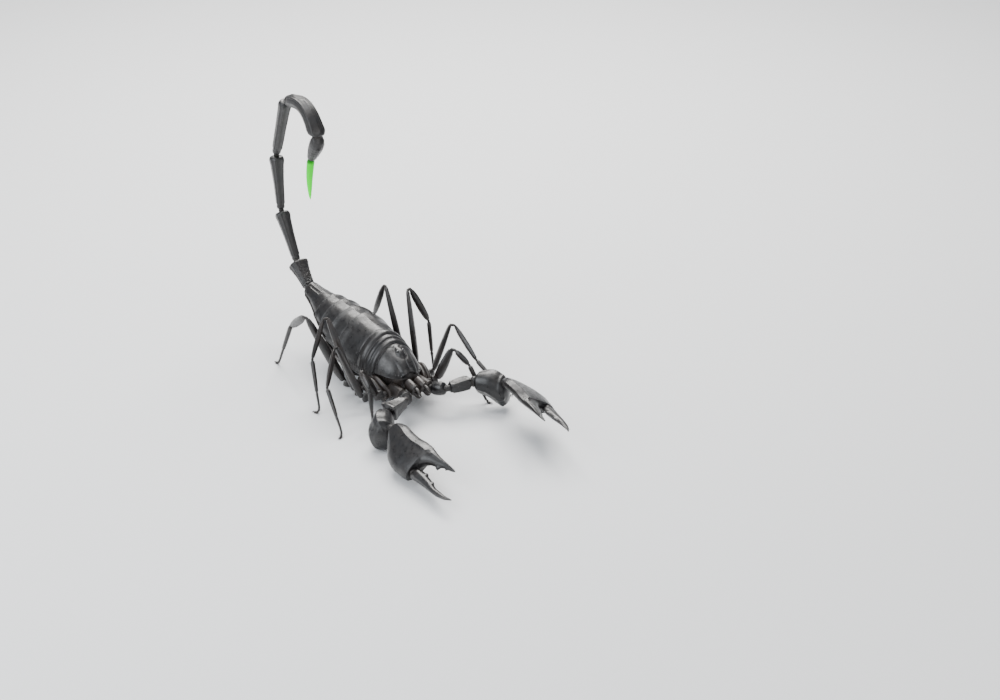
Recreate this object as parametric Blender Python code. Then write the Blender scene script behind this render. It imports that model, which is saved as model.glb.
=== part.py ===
"""A large black scorpion at life size, standing with its claws forward and its tail arched over its back.

Lengths are in millimetres and become metres when a mesh is made. The animal faces -Y, its left side is +X,
and its feet stand on the plane z = 0. The whole model is set so that the middle of its bounding box is at
x = 0, y = 0.
"""

import math

import bmesh
import bpy
from mathutils import Vector

MM = 0.001
GAP = 0.3            # air between neighbouring plates and segments
SIDES = {"left": 1, "right": -1}

# Trunk lines: place along the body, height of the flank edge, half width, rise of the back, drop of belly.
TRUNK_LINES = (
    (-11.2, 11.0, 3.0, 1.8, 3.4),
    (-10.2, 11.0, 4.4, 3.4, 4.6),
    (-7.0, 11.0, 6.3, 5.9, 6.2),
    (-2.5, 11.0, 7.5, 8.0, 7.2),
    (1.5, 11.0, 8.7, 9.5, 7.6),
    (7.0, 11.2, 9.9, 10.8, 7.7),
    (14.0, 11.5, 10.5, 10.9, 7.8),
    (21.0, 12.6, 10.3, 9.9, 7.8),
    (28.0, 14.4, 9.2, 8.3, 7.6),
    (34.0, 16.0, 7.7, 6.7, 6.8),
    (40.0, 17.4, 5.8, 5.1, 5.6),
    (45.0, 18.6, 4.1, 3.8, 4.2),
    (50.0, 19.8, 2.9, 2.8, 3.0),
)
BACK_POWER = 1.7     # below 2 the back rises to a soft crest
BELLY_POWER = 2.4

CARAPACE = (-11.2, 1.2)
TERGITE_EDGES = (1.5, 3.6, 6.6, 18.2, 25.0, 31.6, 37.2, 50.4)
TERGITE_FLARE = 1.035
PROSOMA_UNDERSIDE = (-10.8, 9.6)
BELLY = (10.0, 50.8)

EYE_RADIUS = 0.55
EYE_APART = 1.0      # from the midline to the middle of each eye
EYE_PLACE = -4.8
TUBERCLE = (1.35, 1.8, 1.0)

# Outer end of each leg's coxa on the left side, and where each trochanter ends on each side.
COXA_ENDS = {1: (8.2, -8.4, 6.6), 2: (10.0, -3.4, 5.6), 3: (9.8, 2.4, 5.0), 4: (9.2, 7.4, 4.8)}
COXA_RADIUS = 1.9
COXA_OUTLINE = ((0, 0.8), (0.4, 1.0), (0.85, 1.0), (1, 0.72))
TROCHANTER_ENDS = {
    ("left", 1): (12.0, -8.0, 5.8), ("right", 1): (-12.0, -8.0, 6.8),
    ("left", 2): (14.0, -2.7, 6.0), ("right", 2): (-13.6, -2.7, 3.8),
    ("left", 3): (12.0, 3.6, 5.0), ("right", 3): (-12.4, 3.6, 3.4),
    ("left", 4): (12.3, 12.2, 4.8), ("right", 4): (-12.9, 9.3, 4.9),
}
LEG_LENGTHS = {1: (11.9, 8.0, 12.6), 2: (19.2, 15.9, 15.9), 3: (26.9, 14.6, 16.9), 4: (25.9, 17.9, 20.3)}
# Heading and pitch in degrees of femur, patella and tibia; the tibia's pitch follows from the floor.
LEG_POSES = {
    ("left", 1): ((-18, 64), (-65, -34), -67), ("right", 1): ((180, 63), (-97, -29), 42),
    ("left", 2): ((34, 33), (-85, -32), -84), ("right", 2): ((113, 60), (-136, -31), -99),
    ("left", 3): ((75, 70), (-15, -60), -102), ("right", 3): ((118, 69), (-173, -62), -109),
    ("left", 4): ((91, 67), (80, -54), 74), ("right", 4): ((140, 63), (80, -31), 87),
}
FEMUR_RADII = {1: 1.25, 2: 1.0, 3: 1.0, 4: 1.05}
LEG_FLATNESS = (0.88, 1.28)   # half width and half depth of a leg, as shares of its radius
ANKLE_HEIGHT = 1.15
FOOT_LENGTH = 2.6
FOOT_HEADINGS = {1: -70, 2: -35, 3: 60, 4: 85}
FOOT_RADIUS = 0.42

# Tail: length, pitch in degrees and half width of each ring, from the body outwards.
TAIL_BASE = Vector((0.0, 51.4, 20.0))
TAIL_SEGMENTS = (
    ("metasoma_1", 11.1, 42, 2.9),
    ("metasoma_2", 18.4, 59, 2.25),
    ("metasoma_3", 20.0, 85, 2.2),
    ("metasoma_4", 24.1, 110, 1.95),
    ("metasoma_5", 22.1, 201, 2.7),
)
TAIL_BOW = {"metasoma_5": 4.6}
VESICLE = (11.2, 301, 2.45)
STING = (14.6, 275, 1.25)

PEDIPALP = {
    "left": {
        "coxa": (5.3, -14.4, 7.2), "trochanter": (7.9, -20.4, 8.8), "femur": (17.2, -20.6, 8.8),
        "patella": (24.2, -31.6, 10.0), "finger_root": (18.5, -52.3, 11.7),
    },
    "right": {
        "coxa": (-5.3, -14.4, 7.2), "trochanter": (-7.9, -20.2, 9.2), "femur": (-16.8, -22.2, 7.6),
        "patella": (-23.2, -33.6, 8.3), "finger_root": (-24.1, -55.7, 7.8),
    },
}
PATELLA_HALF_WIDTH = 4.0
PATELLA_HALF_DEPTH = 5.4
CLAW_HAND = 22.1      # length of the hand, from its wrist to where the fingers part
# Claw: distance from the wrist, inner edge, outer edge, half depth. First hand and fixed finger, then the other.
CLAW_ROWS = (
    (0.7, -2.8, 0.2, 1.3),
    (2.4, -4.0, 1.6, 2.2),
    (6.1, -4.6, 4.6, 2.9),
    (10.1, -4.2, 7.4, 3.2),
    (14.0, -4.1, 8.4, 3.3),
    (18.5, -4.5, 8.5, 3.1),
    (21.5, -4.4, 8.2, 2.7),
    (22.2, -4.3, 2.8, 2.3),
    (24.8, -3.9, 0.3, 1.8),
    (27.8, -3.6, -0.6, 1.3),
    (31.0, -3.5, -1.7, 0.85),
    (34.0, -3.3, -2.3, 0.5),
    (35.8, -3.1, -2.7, 0.22),
)
FINGER_ROWS = (
    (22.6, 3.5, 7.2, 1.5),
    (24.0, 3.1, 7.0, 1.9),
    (29.5, 3.7, 6.7, 1.6),
    (34.7, 4.8, 6.6, 1.1),
    (39.0, 4.8, 6.0, 0.6),
    (42.6, 4.2, 4.6, 0.22),
)
MANUS_ROLL = {"left": 27, "right": 40}   # degrees the outer edge of the claw hangs below level

BLACK = (0.012, 0.012, 0.014, 1.0)
BROWN_BLACK = (0.03, 0.022, 0.018, 1.0)
GREEN = (0.13, 0.84, 0.07, 1.0)


def clear_scene():
    for item in list(bpy.data.objects):
        bpy.data.objects.remove(item, do_unlink=True)


def new_collection(name, hidden=False):
    collection = bpy.data.collections.new(name)
    collection.hide_render = hidden
    bpy.context.scene.collection.children.link(collection)
    return collection


def new_material(name, colour, roughness=0.28, glow=0.0):
    material = bpy.data.materials.new(name)
    material.use_nodes = True
    shader = material.node_tree.nodes["Principled BSDF"]
    shader.inputs["Base Color"].default_value = colour
    shader.inputs["Roughness"].default_value = roughness
    shader.inputs["Metallic"].default_value = 0.0
    shader.inputs["Emission Color"].default_value = colour
    shader.inputs["Emission Strength"].default_value = glow
    return material


def polar(heading, pitch):
    """Unit vector from a heading about Z and a pitch above the floor, in degrees."""
    heading, pitch = math.radians(heading), math.radians(pitch)
    return Vector((math.cos(pitch) * math.cos(heading), math.cos(pitch) * math.sin(heading), math.sin(pitch)))


def tail_direction(pitch):
    """Unit vector in the tail's plane x = 0, where pitch 0 points to +Y."""
    return Vector((0.0, math.cos(math.radians(pitch)), math.sin(math.radians(pitch))))


def blend(rows, place):
    """Values at a place between rows of (place, value, ...)."""
    if place <= rows[0][0]:
        return rows[0][1:]
    for low, high in zip(rows, rows[1:]):
        if place <= high[0]:
            share = (place - low[0]) / (high[0] - low[0])
            return tuple(a + (b - a) * share for a, b in zip(low[1:], high[1:]))
    return rows[-1][1:]


def arc(centre, side, rise, half_width, height, power, start, end, count):
    """Points of a superellipse from angle start to end, in degrees, in the plane of side and rise."""
    points = []
    for index in range(count):
        angle = math.radians(start + (end - start) * index / (count - 1))
        cosine, sine = math.cos(angle), math.sin(angle)
        across = math.copysign(abs(cosine) ** (2 / power), cosine) * half_width
        up = math.copysign(abs(sine) ** (2 / power), sine) * height
        points.append(centre + side * across + rise * up)
    return points


def ring(centre, along, up_hint, half_width, half_depth, sides, power=2.0):
    """A closed superellipse square to a direction."""
    side = along.cross(up_hint).normalized()
    rise = side.cross(along).normalized()
    step = 360 / sides
    return arc(centre, side, rise, half_width, half_depth, power, step / 2, 360 - step / 2, sides)


def loft_mesh(rings):
    """A closed bmesh through rings of equal length, with flat ends facing out."""
    mesh = bmesh.new()
    rows = [[mesh.verts.new(point * MM) for point in points] for points in rings]
    for row, following in zip(rows, rows[1:]):
        for index in range(len(row)):
            after = (index + 1) % len(row)
            mesh.faces.new((row[index], row[after], following[after], following[index]))
    mesh.faces.new(rows[0])
    mesh.faces.new(rows[-1])
    bmesh.ops.recalc_face_normals(mesh, faces=mesh.faces)
    return mesh


def add_part(name, mesh, origin, collection, material=None):
    """An object from a bmesh, with its own origin given in millimetres."""
    data = bpy.data.meshes.new(name)
    bmesh.ops.translate(mesh, verts=mesh.verts, vec=-origin * MM)
    mesh.to_mesh(data)
    mesh.free()
    data.shade_smooth()
    data.set_sharp_from_angle(angle=math.radians(50))
    part = bpy.data.objects.new(name, data)
    part.location = origin * MM
    if material:
        data.materials.append(material)
    collection.objects.link(part)
    return part


def add_loft(name, rings, collection, colour=BLACK, roughness=0.28, glow=0.0):
    origin = sum(rings[0], Vector()) / len(rings[0])
    return add_part(name, loft_mesh(rings), origin, collection, new_material(name, colour, roughness, glow))


def helper(name, mesh, cutters):
    """A hidden solid that a Boolean joins to, or cuts from, a part."""
    part = add_part(name, mesh, Vector(), cutters)
    part.hide_render = True
    part.display_type = "WIRE"
    return part


def combine(part, other, operation):
    modifier = part.modifiers.new(other.name, "BOOLEAN")
    modifier.object = other
    modifier.operation = operation
    modifier.solver = "EXACT"


def tube(points, widths, depths, up_hint, sides):
    """Rings along a path, each square to the path."""
    rings = []
    for index, point in enumerate(points):
        before = points[max(index - 1, 0)]
        after = points[min(index + 1, len(points) - 1)]
        rings.append(ring(point, (after - before).normalized(), up_hint, widths[index], depths[index], sides))
    return rings


def limb(start, end, half_width, half_depth, outline, up_hint, sides=8, bow=Vector()):
    """Rings of one limb segment whose thickness follows an outline of (share of length, share of width)."""
    points, widths, depths = [], [], []
    for share, size in outline:
        points.append(start.lerp(end, share) + bow * math.sin(math.pi * share))
        widths.append(half_width * size)
        depths.append(half_depth * size)
    return tube(points, widths, depths, up_hint, sides)


def setback(radius, before, joint, after):
    """How far a segment of this end radius stops short of a bent joint to clear its neighbour."""
    angle = (before - joint).angle(after - joint)
    return radius / math.tan(angle / 2) + GAP / 2 / math.sin(angle / 2)


def beside_knee(hip, knee, bend, radius):
    """Where the patella of a sharply bent leg begins, clear of the femur's end at its side."""
    femur = (knee - hip).normalized()
    patella = (bend - knee).normalized()
    aside = (patella - femur * patella.dot(femur)).normalized()
    return knee + aside * (radius * (0.95 - 0.3 * patella.dot(femur)) + GAP)


FEMUR_OUTLINE = ((0, 0.6), (0.04, 0.85), (0.15, 1.1), (0.4, 1.15), (0.7, 0.98), (0.92, 0.75), (1, 0.5))
PATELLA_OUTLINE = ((0, 0.45), (0.08, 0.72), (0.3, 1.1), (0.6, 1.15), (0.9, 0.88), (1, 0.55))
TAIL_OUTLINE = ((0, 0.5), (0.05, 0.62), (0.2, 0.66), (0.5, 0.78), (0.8, 0.98), (0.93, 1.1), (1, 0.82))
TAIL_END_OUTLINE = ((0, 0.6), (0.05, 0.76), (0.2, 0.84), (0.5, 0.9), (0.8, 1.0), (0.93, 1.06), (1, 0.82))
VESICLE_OUTLINE = ((0, 0.55), (0.1, 0.88), (0.3, 1.0), (0.55, 0.93), (0.8, 0.72), (1, 0.5))
SOFT_OUTLINE = ((0, 0.6), (0.08, 0.85), (0.25, 1.0), (0.55, 1.05), (0.85, 0.95), (0.95, 0.78), (1, 0.5))


def trunk_section(place, upper, count, flare=1.0):
    """Half of the trunk's cross-section, closed by its flat edge at flank height."""
    flank, half_width, rise, drop = blend(TRUNK_LINES, place)
    centre = Vector((0, place, flank + (GAP if upper else -GAP) / 2))
    if upper:
        return arc(centre, Vector((1, 0, 0)), Vector((0, 0, 1)), half_width * flare, rise * flare,
                   BACK_POWER, 0, 180, count)
    return arc(centre, Vector((1, 0, 0)), Vector((0, 0, -1)), half_width * flare, drop * flare,
               BELLY_POWER, 0, 180, count)


def ellipsoid(centre, radii, segments=10, rows=7):
    """A closed bmesh of a sphere stretched to three radii."""
    mesh = bmesh.new()
    bmesh.ops.create_uvsphere(mesh, u_segments=segments, v_segments=rows, radius=1.0)
    bmesh.ops.scale(mesh, verts=mesh.verts, vec=Vector(radii) * MM)
    bmesh.ops.translate(mesh, verts=mesh.verts, vec=centre * MM)
    return mesh


def add_carapace(parts, cutters):
    front, rear = CARAPACE
    places = [front + (rear - front) * share for share in (0, 0.1, 0.22, 0.36, 0.52, 0.7, 0.86, 1)]
    part = add_loft("carapace", [trunk_section(place, True, 19) for place in places], parts)
    flank, _, rise, _ = blend(TRUNK_LINES, EYE_PLACE)
    crest = Vector((0, EYE_PLACE, flank + rise))
    combine(part, helper("tubercle", ellipsoid(crest, TUBERCLE, 12), cutters), "UNION")
    for side, sign in SIDES.items():
        centre = crest + Vector((sign * EYE_APART, 0, TUBERCLE[2] / 4))
        socket_radii = [EYE_RADIUS + GAP / 2] * 3
        socket = helper("eye_socket_" + side, ellipsoid(centre, socket_radii), cutters)
        combine(part, socket, "DIFFERENCE")
        eye = ellipsoid(centre, [EYE_RADIUS] * 3)
        add_part("eye_median_" + side, eye, centre, parts, new_material("eye_median_" + side, BLACK, 0.05))


def add_tergites(parts):
    for number, (front, rear) in enumerate(zip(TERGITE_EDGES, TERGITE_EDGES[1:]), start=1):
        rear -= GAP
        rings = []
        for share, flare in ((0, 0.985), (0.3, 1.0), (0.65, 1.01), (0.93, TERGITE_FLARE), (1, 1.015)):
            rings.append(trunk_section(front + (rear - front) * share, True, 15, flare))
        add_loft(f"tergite_{number}", rings, parts)


def add_belly(parts):
    front, rear = BELLY
    edges = (front, 12.5, 20.0, 27.0, 34.0, 41.0, rear)
    rings = []
    for start, end in zip(edges, edges[1:]):
        for share, flare in ((0.01, 0.97), (0.5, 0.985), (0.96, 0.995)):
            rings.append(trunk_section(start + (end - start) * share, False, 11, flare))
    add_loft("sternites", rings, parts, BROWN_BLACK, 0.35)


def coxa_start(sign, number):
    """Where the coxa of a leg begins, beside the breast plate."""
    return Vector((sign * 2.6, -5.4 + 1.8 * number, 5.6))


def add_prosoma_underside(parts, cutters):
    up = Vector((0, 0, 1))
    front, rear = PROSOMA_UNDERSIDE
    rings = []
    for share, flare in ((0, 0.8), (0.2, 0.86), (0.5, 0.84), (1, 0.84)):
        rings.append(trunk_section(front + (rear - front) * share, False, 15, flare))
    part = add_loft("prosoma_underside", rings, parts, BROWN_BLACK, 0.35)
    for side, sign in SIDES.items():
        for number, (x, y, z) in COXA_ENDS.items():
            rings = limb(coxa_start(sign, number), Vector((sign * x, y, z)), COXA_RADIUS, COXA_RADIUS,
                         COXA_OUTLINE, up)
            combine(part, helper(f"coxa_{side}_{number}", loft_mesh(rings), cutters), "UNION")
        palp_start = Vector((sign * 4.7, -6.8, 7.0))
        rings = limb(palp_start, Vector(PEDIPALP[side]["coxa"]), 1.8, 2.4, COXA_OUTLINE, up, 10)
        combine(part, helper(f"coxa_{side}_palp", loft_mesh(rings), cutters), "UNION")


def add_chelicerae(parts, cutters):
    for side, sign in SIDES.items():
        base = Vector((sign * 1.75, -11.7, 10.0))
        front = Vector((sign * 1.75, -16.6, 9.0))
        rings = limb(base, front, 1.45, 1.9, ((0, 0.8), (0.12, 1.0), (0.6, 1.02), (0.92, 0.85), (1, 0.6)),
                     Vector((0, 0, 1)), 10)
        part = add_loft("chelicera_" + side, rings, parts, BROWN_BLACK, 0.3)
        for name, offset, reach in (("upper", 0.75, 3.2), ("lower", -0.75, 2.7)):
            start = front + Vector((0, 0.9, offset))
            end = front + Vector((sign * 0.1, -reach, offset * 0.25 - 0.9))
            rings = limb(start, end, 0.7, 0.62, ((0, 1.0), (0.5, 0.85), (0.85, 0.6), (1, 0.4)),
                         Vector((0, 0, 1)), 6, Vector((0, 0, offset * 0.6)))
            combine(part, helper(f"cheliceral_finger_{side}_{name}", loft_mesh(rings), cutters), "UNION")


def comb_outline(length, width, teeth, tooth):
    """Flat outline of a pecten: a tapering blade with teeth along its rear edge."""
    points = [(0.0, width / 2), (length, width * 0.2)]
    pitch = length / teeth
    for index in range(teeth):
        x = length - pitch * index
        y = -width * (0.2 + 0.3 * (index / teeth))
        points += [(x, y), (x - pitch * 0.15, y - tooth), (x - pitch * 0.6, y - tooth), (x - pitch * 0.75, y)]
    points.append((0.0, -width / 2))
    return points


def add_pectines(parts):
    for side, sign in SIDES.items():
        curve = bpy.data.curves.new("pecten_" + side, "CURVE")
        curve.dimensions = "2D"
        curve.fill_mode = "BOTH"
        curve.extrude = 0.3 * MM
        spline = curve.splines.new("POLY")
        outline = comb_outline(7.0, 1.7, 11, 0.9)
        spline.points.add(len(outline) - 1)
        for point, (x, y) in zip(spline.points, outline):
            point.co = (x * MM, -y * MM, 0, 1)
        spline.use_cyclic_u = True
        part = bpy.data.objects.new("pecten_" + side, curve)
        part.location = Vector((sign * 1.0, 12.0, 2.2)) * MM
        part.rotation_euler = (0, math.radians(-14 if sign > 0 else -166), math.radians(28 * sign))
        curve.materials.append(new_material("pecten_" + side, BROWN_BLACK, 0.45))
        parts.objects.link(part)


def tail_joints():
    """Joint points of the tail from its base to the sting's tip."""
    joints = [TAIL_BASE]
    rows = [(length, pitch) for _, length, pitch, _ in TAIL_SEGMENTS] + [VESICLE[:2], STING[:2]]
    for length, pitch in rows:
        joints.append(joints[-1] + tail_direction(pitch) * length)
    return joints


def add_tail(parts):
    joints = tail_joints()
    side_axis = Vector((1, 0, 0))
    before = TAIL_BASE - tail_direction(25) * 10
    for index, (name, length, pitch, radius) in enumerate(TAIL_SEGMENTS):
        start, end = joints[index], joints[index + 1]
        along = (end - start).normalized()
        into = setback(radius * 0.5, before, start, end)
        out = setback(radius * 0.5, start, end, joints[index + 2])
        outline = TAIL_OUTLINE if index < 3 else TAIL_END_OUTLINE
        rings = limb(start + along * into, end - along * out, radius, radius * 0.95, outline,
                     side_axis, 12, -side_axis.cross(along) * TAIL_BOW.get(name, 0))
        add_loft(name, rings, parts)
        before = start
    start, end, tip = joints[5:8]
    along = (end - start).normalized()
    radius = VESICLE[2]
    rings = limb(start + along * setback(radius * 0.6, before, start, end), end - along * GAP, radius,
                 radius, VESICLE_OUTLINE, side_axis, 12)
    add_loft("telson_vesicle", rings, parts)
    outline = ((0, 0.85), (0.1, 1.0), (0.35, 0.86), (0.65, 0.56), (0.88, 0.34), (1, 0.2))
    rings = limb(end + (tip - end).normalized() * GAP, tip, STING[2], STING[2], outline, side_axis, 12,
                 Vector((0, 0.7, 0)))
    add_loft("telson_sting", rings, parts, GREEN, 0.35, 1.0)


def foot_rings(knee, ankle, outward, radius):
    """Rings of tibia and tarsus, ending in a short foot whose underside is flat at z = 0."""
    points, sizes = [], []
    for share, size in ((0, 0.6), (0.05, 1.0), (0.3, 0.95), (0.62, 0.66), (0.92, 0.5)):
        points.append(knee.lerp(ankle, share))
        sizes.append(radius * size)
    for reach, height, size in ((0.12, 0.9, 0.95), (0.35, 0.3, 1.1), (0.75, 0.26, 1.0), (1.0, 0.3, 0.7)):
        point = ankle + outward * (FOOT_LENGTH * reach)
        points.append(Vector((point.x, point.y, height)))
        sizes.append(FOOT_RADIUS * size)
    rings = tube(points, sizes, sizes, Vector((0, 0, 1)), 8)
    return [[Vector((point.x, point.y, max(point.z, 0.0))) for point in points] for points in rings]


def leg_joints(side, number):
    """Coxa end, trochanter end, knee, patella end and ankle of one leg."""
    x, y, z = COXA_ENDS[number]
    joints = [Vector((SIDES[side] * x, y, z)), Vector(TROCHANTER_ENDS[side, number])]
    femur, patella, tibia = LEG_LENGTHS[number]
    femur_pose, patella_pose, tibia_heading = LEG_POSES[side, number]
    joints.append(joints[-1] + polar(*femur_pose) * femur)
    joints.append(joints[-1] + polar(*patella_pose) * patella)
    drop = math.degrees(math.asin((joints[-1].z - ANKLE_HEIGHT) / tibia))
    joints.append(joints[-1] + polar(tibia_heading, -drop) * tibia)
    return joints


def add_legs(parts):
    up = Vector((0, 0, 1))
    for side, sign in SIDES.items():
        for number in COXA_ENDS:
            coxa, hip, knee, bend, ankle = leg_joints(side, number)
            radius = FEMUR_RADII[number]
            out = (hip - coxa).normalized()
            start = coxa + out * (setback(radius * 1.45, coxa_start(sign, number), coxa, hip) + GAP)
            end = knee - (knee - hip).normalized() * GAP
            points = [start, start.lerp(hip, 0.25), start.lerp(hip, 0.75)]
            sizes = [radius * 0.9, radius * 1.2, radius * 1.25]
            for share, size in FEMUR_OUTLINE[1:]:
                points.append(hip.lerp(end, share + 0.06 * (1 - share)))
                sizes.append(radius * size)
            name = f"leg_{side}_{number}_"
            widths = [size * LEG_FLATNESS[0] for size in sizes]
            depths = [size * LEG_FLATNESS[1] for size in sizes]
            add_loft(name + "femur", tube(points, widths, depths, up, 8), parts)

            start = beside_knee(hip, knee, bend, radius)
            along = (bend - start).normalized()
            end = bend - along * setback(radius * 0.5, knee, bend, ankle)
            widths = [radius * share for share in LEG_FLATNESS]
            rings = limb(start, end, *widths, PATELLA_OUTLINE, up)
            add_loft(name + "patella", rings, parts)

            along = (ankle - bend).normalized()
            start = bend + along * setback(radius * 0.48, knee, bend, ankle)
            heading = FOOT_HEADINGS[number] if sign > 0 else 180 - FOOT_HEADINGS[number]
            rings = foot_rings(start, ankle, polar(heading, 0), radius * 0.72)
            add_loft(name + "tibia", rings, parts)


def add_pedipalps(parts):
    up = Vector((0, 0, 1))
    for side, sign in SIDES.items():
        place = {key: Vector(value) for key, value in PEDIPALP[side].items()}
        coxa, trochanter, femur, patella = (place[key] for key in ("coxa", "trochanter", "femur", "patella"))
        name = f"pedipalp_{side}_"
        along = (trochanter - coxa).normalized()
        rings = limb(coxa + along * 0.9, trochanter - along * 0.9, 2.1, 2.2, SOFT_OUTLINE, up, 10)
        add_loft(name + "trochanter", rings, parts)

        along = (femur - trochanter).normalized()
        outline = ((0, 0.5), (0.06, 0.8), (0.3, 0.9), (0.7, 1.2), (0.94, 1.7), (1, 1.25))
        rings = limb(trochanter + along * 0.7, femur - along * 0.9, 1.95, 2.0, outline, up, 10)
        add_loft(name + "femur", rings, parts)

        along = (patella - femur).normalized()
        outward = Vector((sign, 0, 0))
        outline = ((0, 0.4), (0.06, 0.65), (0.22, 0.95), (0.5, 1.1), (0.78, 1.0), (0.94, 0.7), (1, 0.42))
        rings = limb(femur + along * 0.5, patella - along * 0.7, PATELLA_HALF_WIDTH, PATELLA_HALF_DEPTH,
                     outline, up, 12, outward * 2.8 - up * 1.2)
        add_loft(name + "patella", rings, parts)
        add_chela(name, side, place, outward, parts)


def add_chela(name, side, place, outward, parts):
    """The claw: a swollen hand that ends in a fixed finger, and a movable finger below and outside it."""
    up = Vector((0, 0, 1))
    wrist, finger_root = place["patella"], place["finger_root"]
    along = (finger_root - wrist).normalized()
    roll = math.radians(MANUS_ROLL[side])
    width_axis = outward * math.cos(roll) - up * math.sin(roll)
    depth_axis = along.cross(width_axis).normalized()
    width_axis = depth_axis.cross(along).normalized()
    reach = (finger_root - wrist).length / CLAW_HAND
    rings = []
    for distance, inner, outer, half_depth in CLAW_ROWS:
        centre = wrist + along * (distance * reach) + width_axis * ((inner + outer) / 2 * reach)
        half_width = (outer - inner) / 2 * reach
        rings.append(arc(centre, width_axis, depth_axis, half_width, half_depth * reach, 2.3, 10, 350, 14))
    add_loft(name + "manus", rings, parts)

    rings = []
    for distance, inner, outer, half_depth in FINGER_ROWS:
        centre = wrist + along * (distance * reach) + width_axis * ((inner + outer) / 2 * reach)
        half_width = (outer - inner) / 2 * reach
        rings.append(arc(centre, width_axis, depth_axis, half_width, half_depth * reach, 2, 15, 345, 10))
    add_loft(name + "finger", rings, parts)


def centre_on_floor(parts, helpers):
    """Parents everything to an empty that sets the bounding box's base on z = 0, centred on x = 0, y = 0."""
    bpy.context.view_layer.update()
    graph = bpy.context.evaluated_depsgraph_get()
    corners = []
    for part in parts.objects:
        evaluated = part.evaluated_get(graph)
        mesh = evaluated.to_mesh()
        corners += [evaluated.matrix_world @ vertex.co for vertex in mesh.vertices]
        evaluated.to_mesh_clear()
    low = Vector([min(corner[axis] for corner in corners) for axis in range(3)])
    high = Vector([max(corner[axis] for corner in corners) for axis in range(3)])
    middle = (low + high) / 2
    anchor = bpy.data.objects.new("scorpion_anchor", None)
    for item in list(parts.objects) + list(helpers.objects):
        item.parent = anchor
    parts.objects.link(anchor)
    anchor.location = (-middle.x, -middle.y, -low.z)


def build():
    clear_scene()
    parts = new_collection("scorpion")
    cutters = new_collection("scorpion_helpers", hidden=True)
    add_carapace(parts, cutters)
    add_tergites(parts)
    add_belly(parts)
    add_prosoma_underside(parts, cutters)
    add_chelicerae(parts, cutters)
    add_pectines(parts)
    add_tail(parts)
    add_legs(parts)
    add_pedipalps(parts)
    centre_on_floor(parts, cutters)


build()
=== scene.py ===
"""The looks of a large black scorpion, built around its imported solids.

The modelling code works in millimetres in the animal's own frame: it faces -Y, its left side is +X and
its feet stand on z = 0. make_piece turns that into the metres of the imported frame.
"""

import math
from collections import namedtuple

import bpy
import numpy as np
from mathutils import Matrix, Vector


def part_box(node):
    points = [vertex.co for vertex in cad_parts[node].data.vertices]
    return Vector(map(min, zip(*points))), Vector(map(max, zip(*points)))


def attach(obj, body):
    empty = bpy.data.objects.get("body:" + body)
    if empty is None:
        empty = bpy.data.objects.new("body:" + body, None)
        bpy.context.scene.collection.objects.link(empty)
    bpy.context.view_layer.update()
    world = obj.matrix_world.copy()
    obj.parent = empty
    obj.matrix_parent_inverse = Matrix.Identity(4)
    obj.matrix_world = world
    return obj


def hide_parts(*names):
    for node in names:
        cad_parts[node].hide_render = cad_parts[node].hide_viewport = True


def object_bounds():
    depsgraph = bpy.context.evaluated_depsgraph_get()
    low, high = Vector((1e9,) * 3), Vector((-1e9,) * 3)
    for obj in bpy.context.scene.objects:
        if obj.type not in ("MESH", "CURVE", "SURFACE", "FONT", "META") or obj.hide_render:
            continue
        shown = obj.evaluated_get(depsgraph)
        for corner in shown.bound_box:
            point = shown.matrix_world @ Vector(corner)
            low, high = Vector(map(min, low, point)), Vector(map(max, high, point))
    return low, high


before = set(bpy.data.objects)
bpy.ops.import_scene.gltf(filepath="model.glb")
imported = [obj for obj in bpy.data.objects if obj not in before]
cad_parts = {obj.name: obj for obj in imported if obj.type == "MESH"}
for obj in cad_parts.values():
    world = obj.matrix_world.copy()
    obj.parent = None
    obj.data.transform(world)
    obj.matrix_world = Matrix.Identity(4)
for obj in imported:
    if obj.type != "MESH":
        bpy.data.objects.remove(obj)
cad_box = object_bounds()

MM = 0.001
GAP = 0.3
SIDES = {"left": 1, "right": -1}
X_AXIS = np.array((1.0, 0.0, 0.0))
UP = np.array((0.0, 0.0, 1.0))

# ---------------------------------------------------------------- the animal's measures, as in its solids

# Trunk: place from front to rear, height of the flank, half width, rise of the back, drop of the belly.
TRUNK_LINES = (
    (-11.2, 11.0, 3.0, 1.8, 3.4),
    (-10.2, 11.0, 4.4, 3.4, 4.6),
    (-7.0, 11.0, 6.3, 5.9, 6.2),
    (-2.5, 11.0, 7.5, 8.0, 7.2),
    (1.5, 11.0, 8.7, 9.5, 7.6),
    (7.0, 11.2, 9.9, 10.8, 7.7),
    (14.0, 11.5, 10.5, 10.9, 7.8),
    (21.0, 12.6, 10.3, 9.9, 7.8),
    (28.0, 14.4, 9.2, 8.3, 7.6),
    (34.0, 16.0, 7.7, 6.7, 6.8),
    (40.0, 17.4, 5.8, 5.1, 5.6),
    (45.0, 18.6, 4.1, 3.8, 4.2),
    (50.8, 19.9, 2.8, 2.7, 2.9),
)
BACK_POWER = 1.7
BELLY_POWER = 2.4
CARAPACE = (-11.2, 1.3)
TERGITE_EDGES = (1.5, 3.6, 6.6, 18.2, 25.0, 31.6, 37.2, 50.4)
STERNITE_EDGES = (12.5, 20.0, 27.0, 34.0, 41.0, 50.8)
SKIN_ENDS = (-10.9, 50.9)    # the skin under the plates
BREAST_REAR = 9.8            # rear end of the smooth body that shows between the coxae

EYE_RADIUS = 0.55
EYE_APART = 1.0
EYE_PLACE = -4.8
TUBERCLE = (1.55, 2.2, 0.65)   # half width, half length and height of the eyes' hill
SIDE_EYES = ((-10.6, 27, 0.27), (-9.85, 27, 0.25), (-9.2, 22, 0.19))   # place, angle, radius

COMB_TEETH = 18
COMB_TURNS = (28, -14)   # degrees that a comb swings back and tilts
COMB_ROOT = (1.0, 12.0, 2.4)

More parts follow.
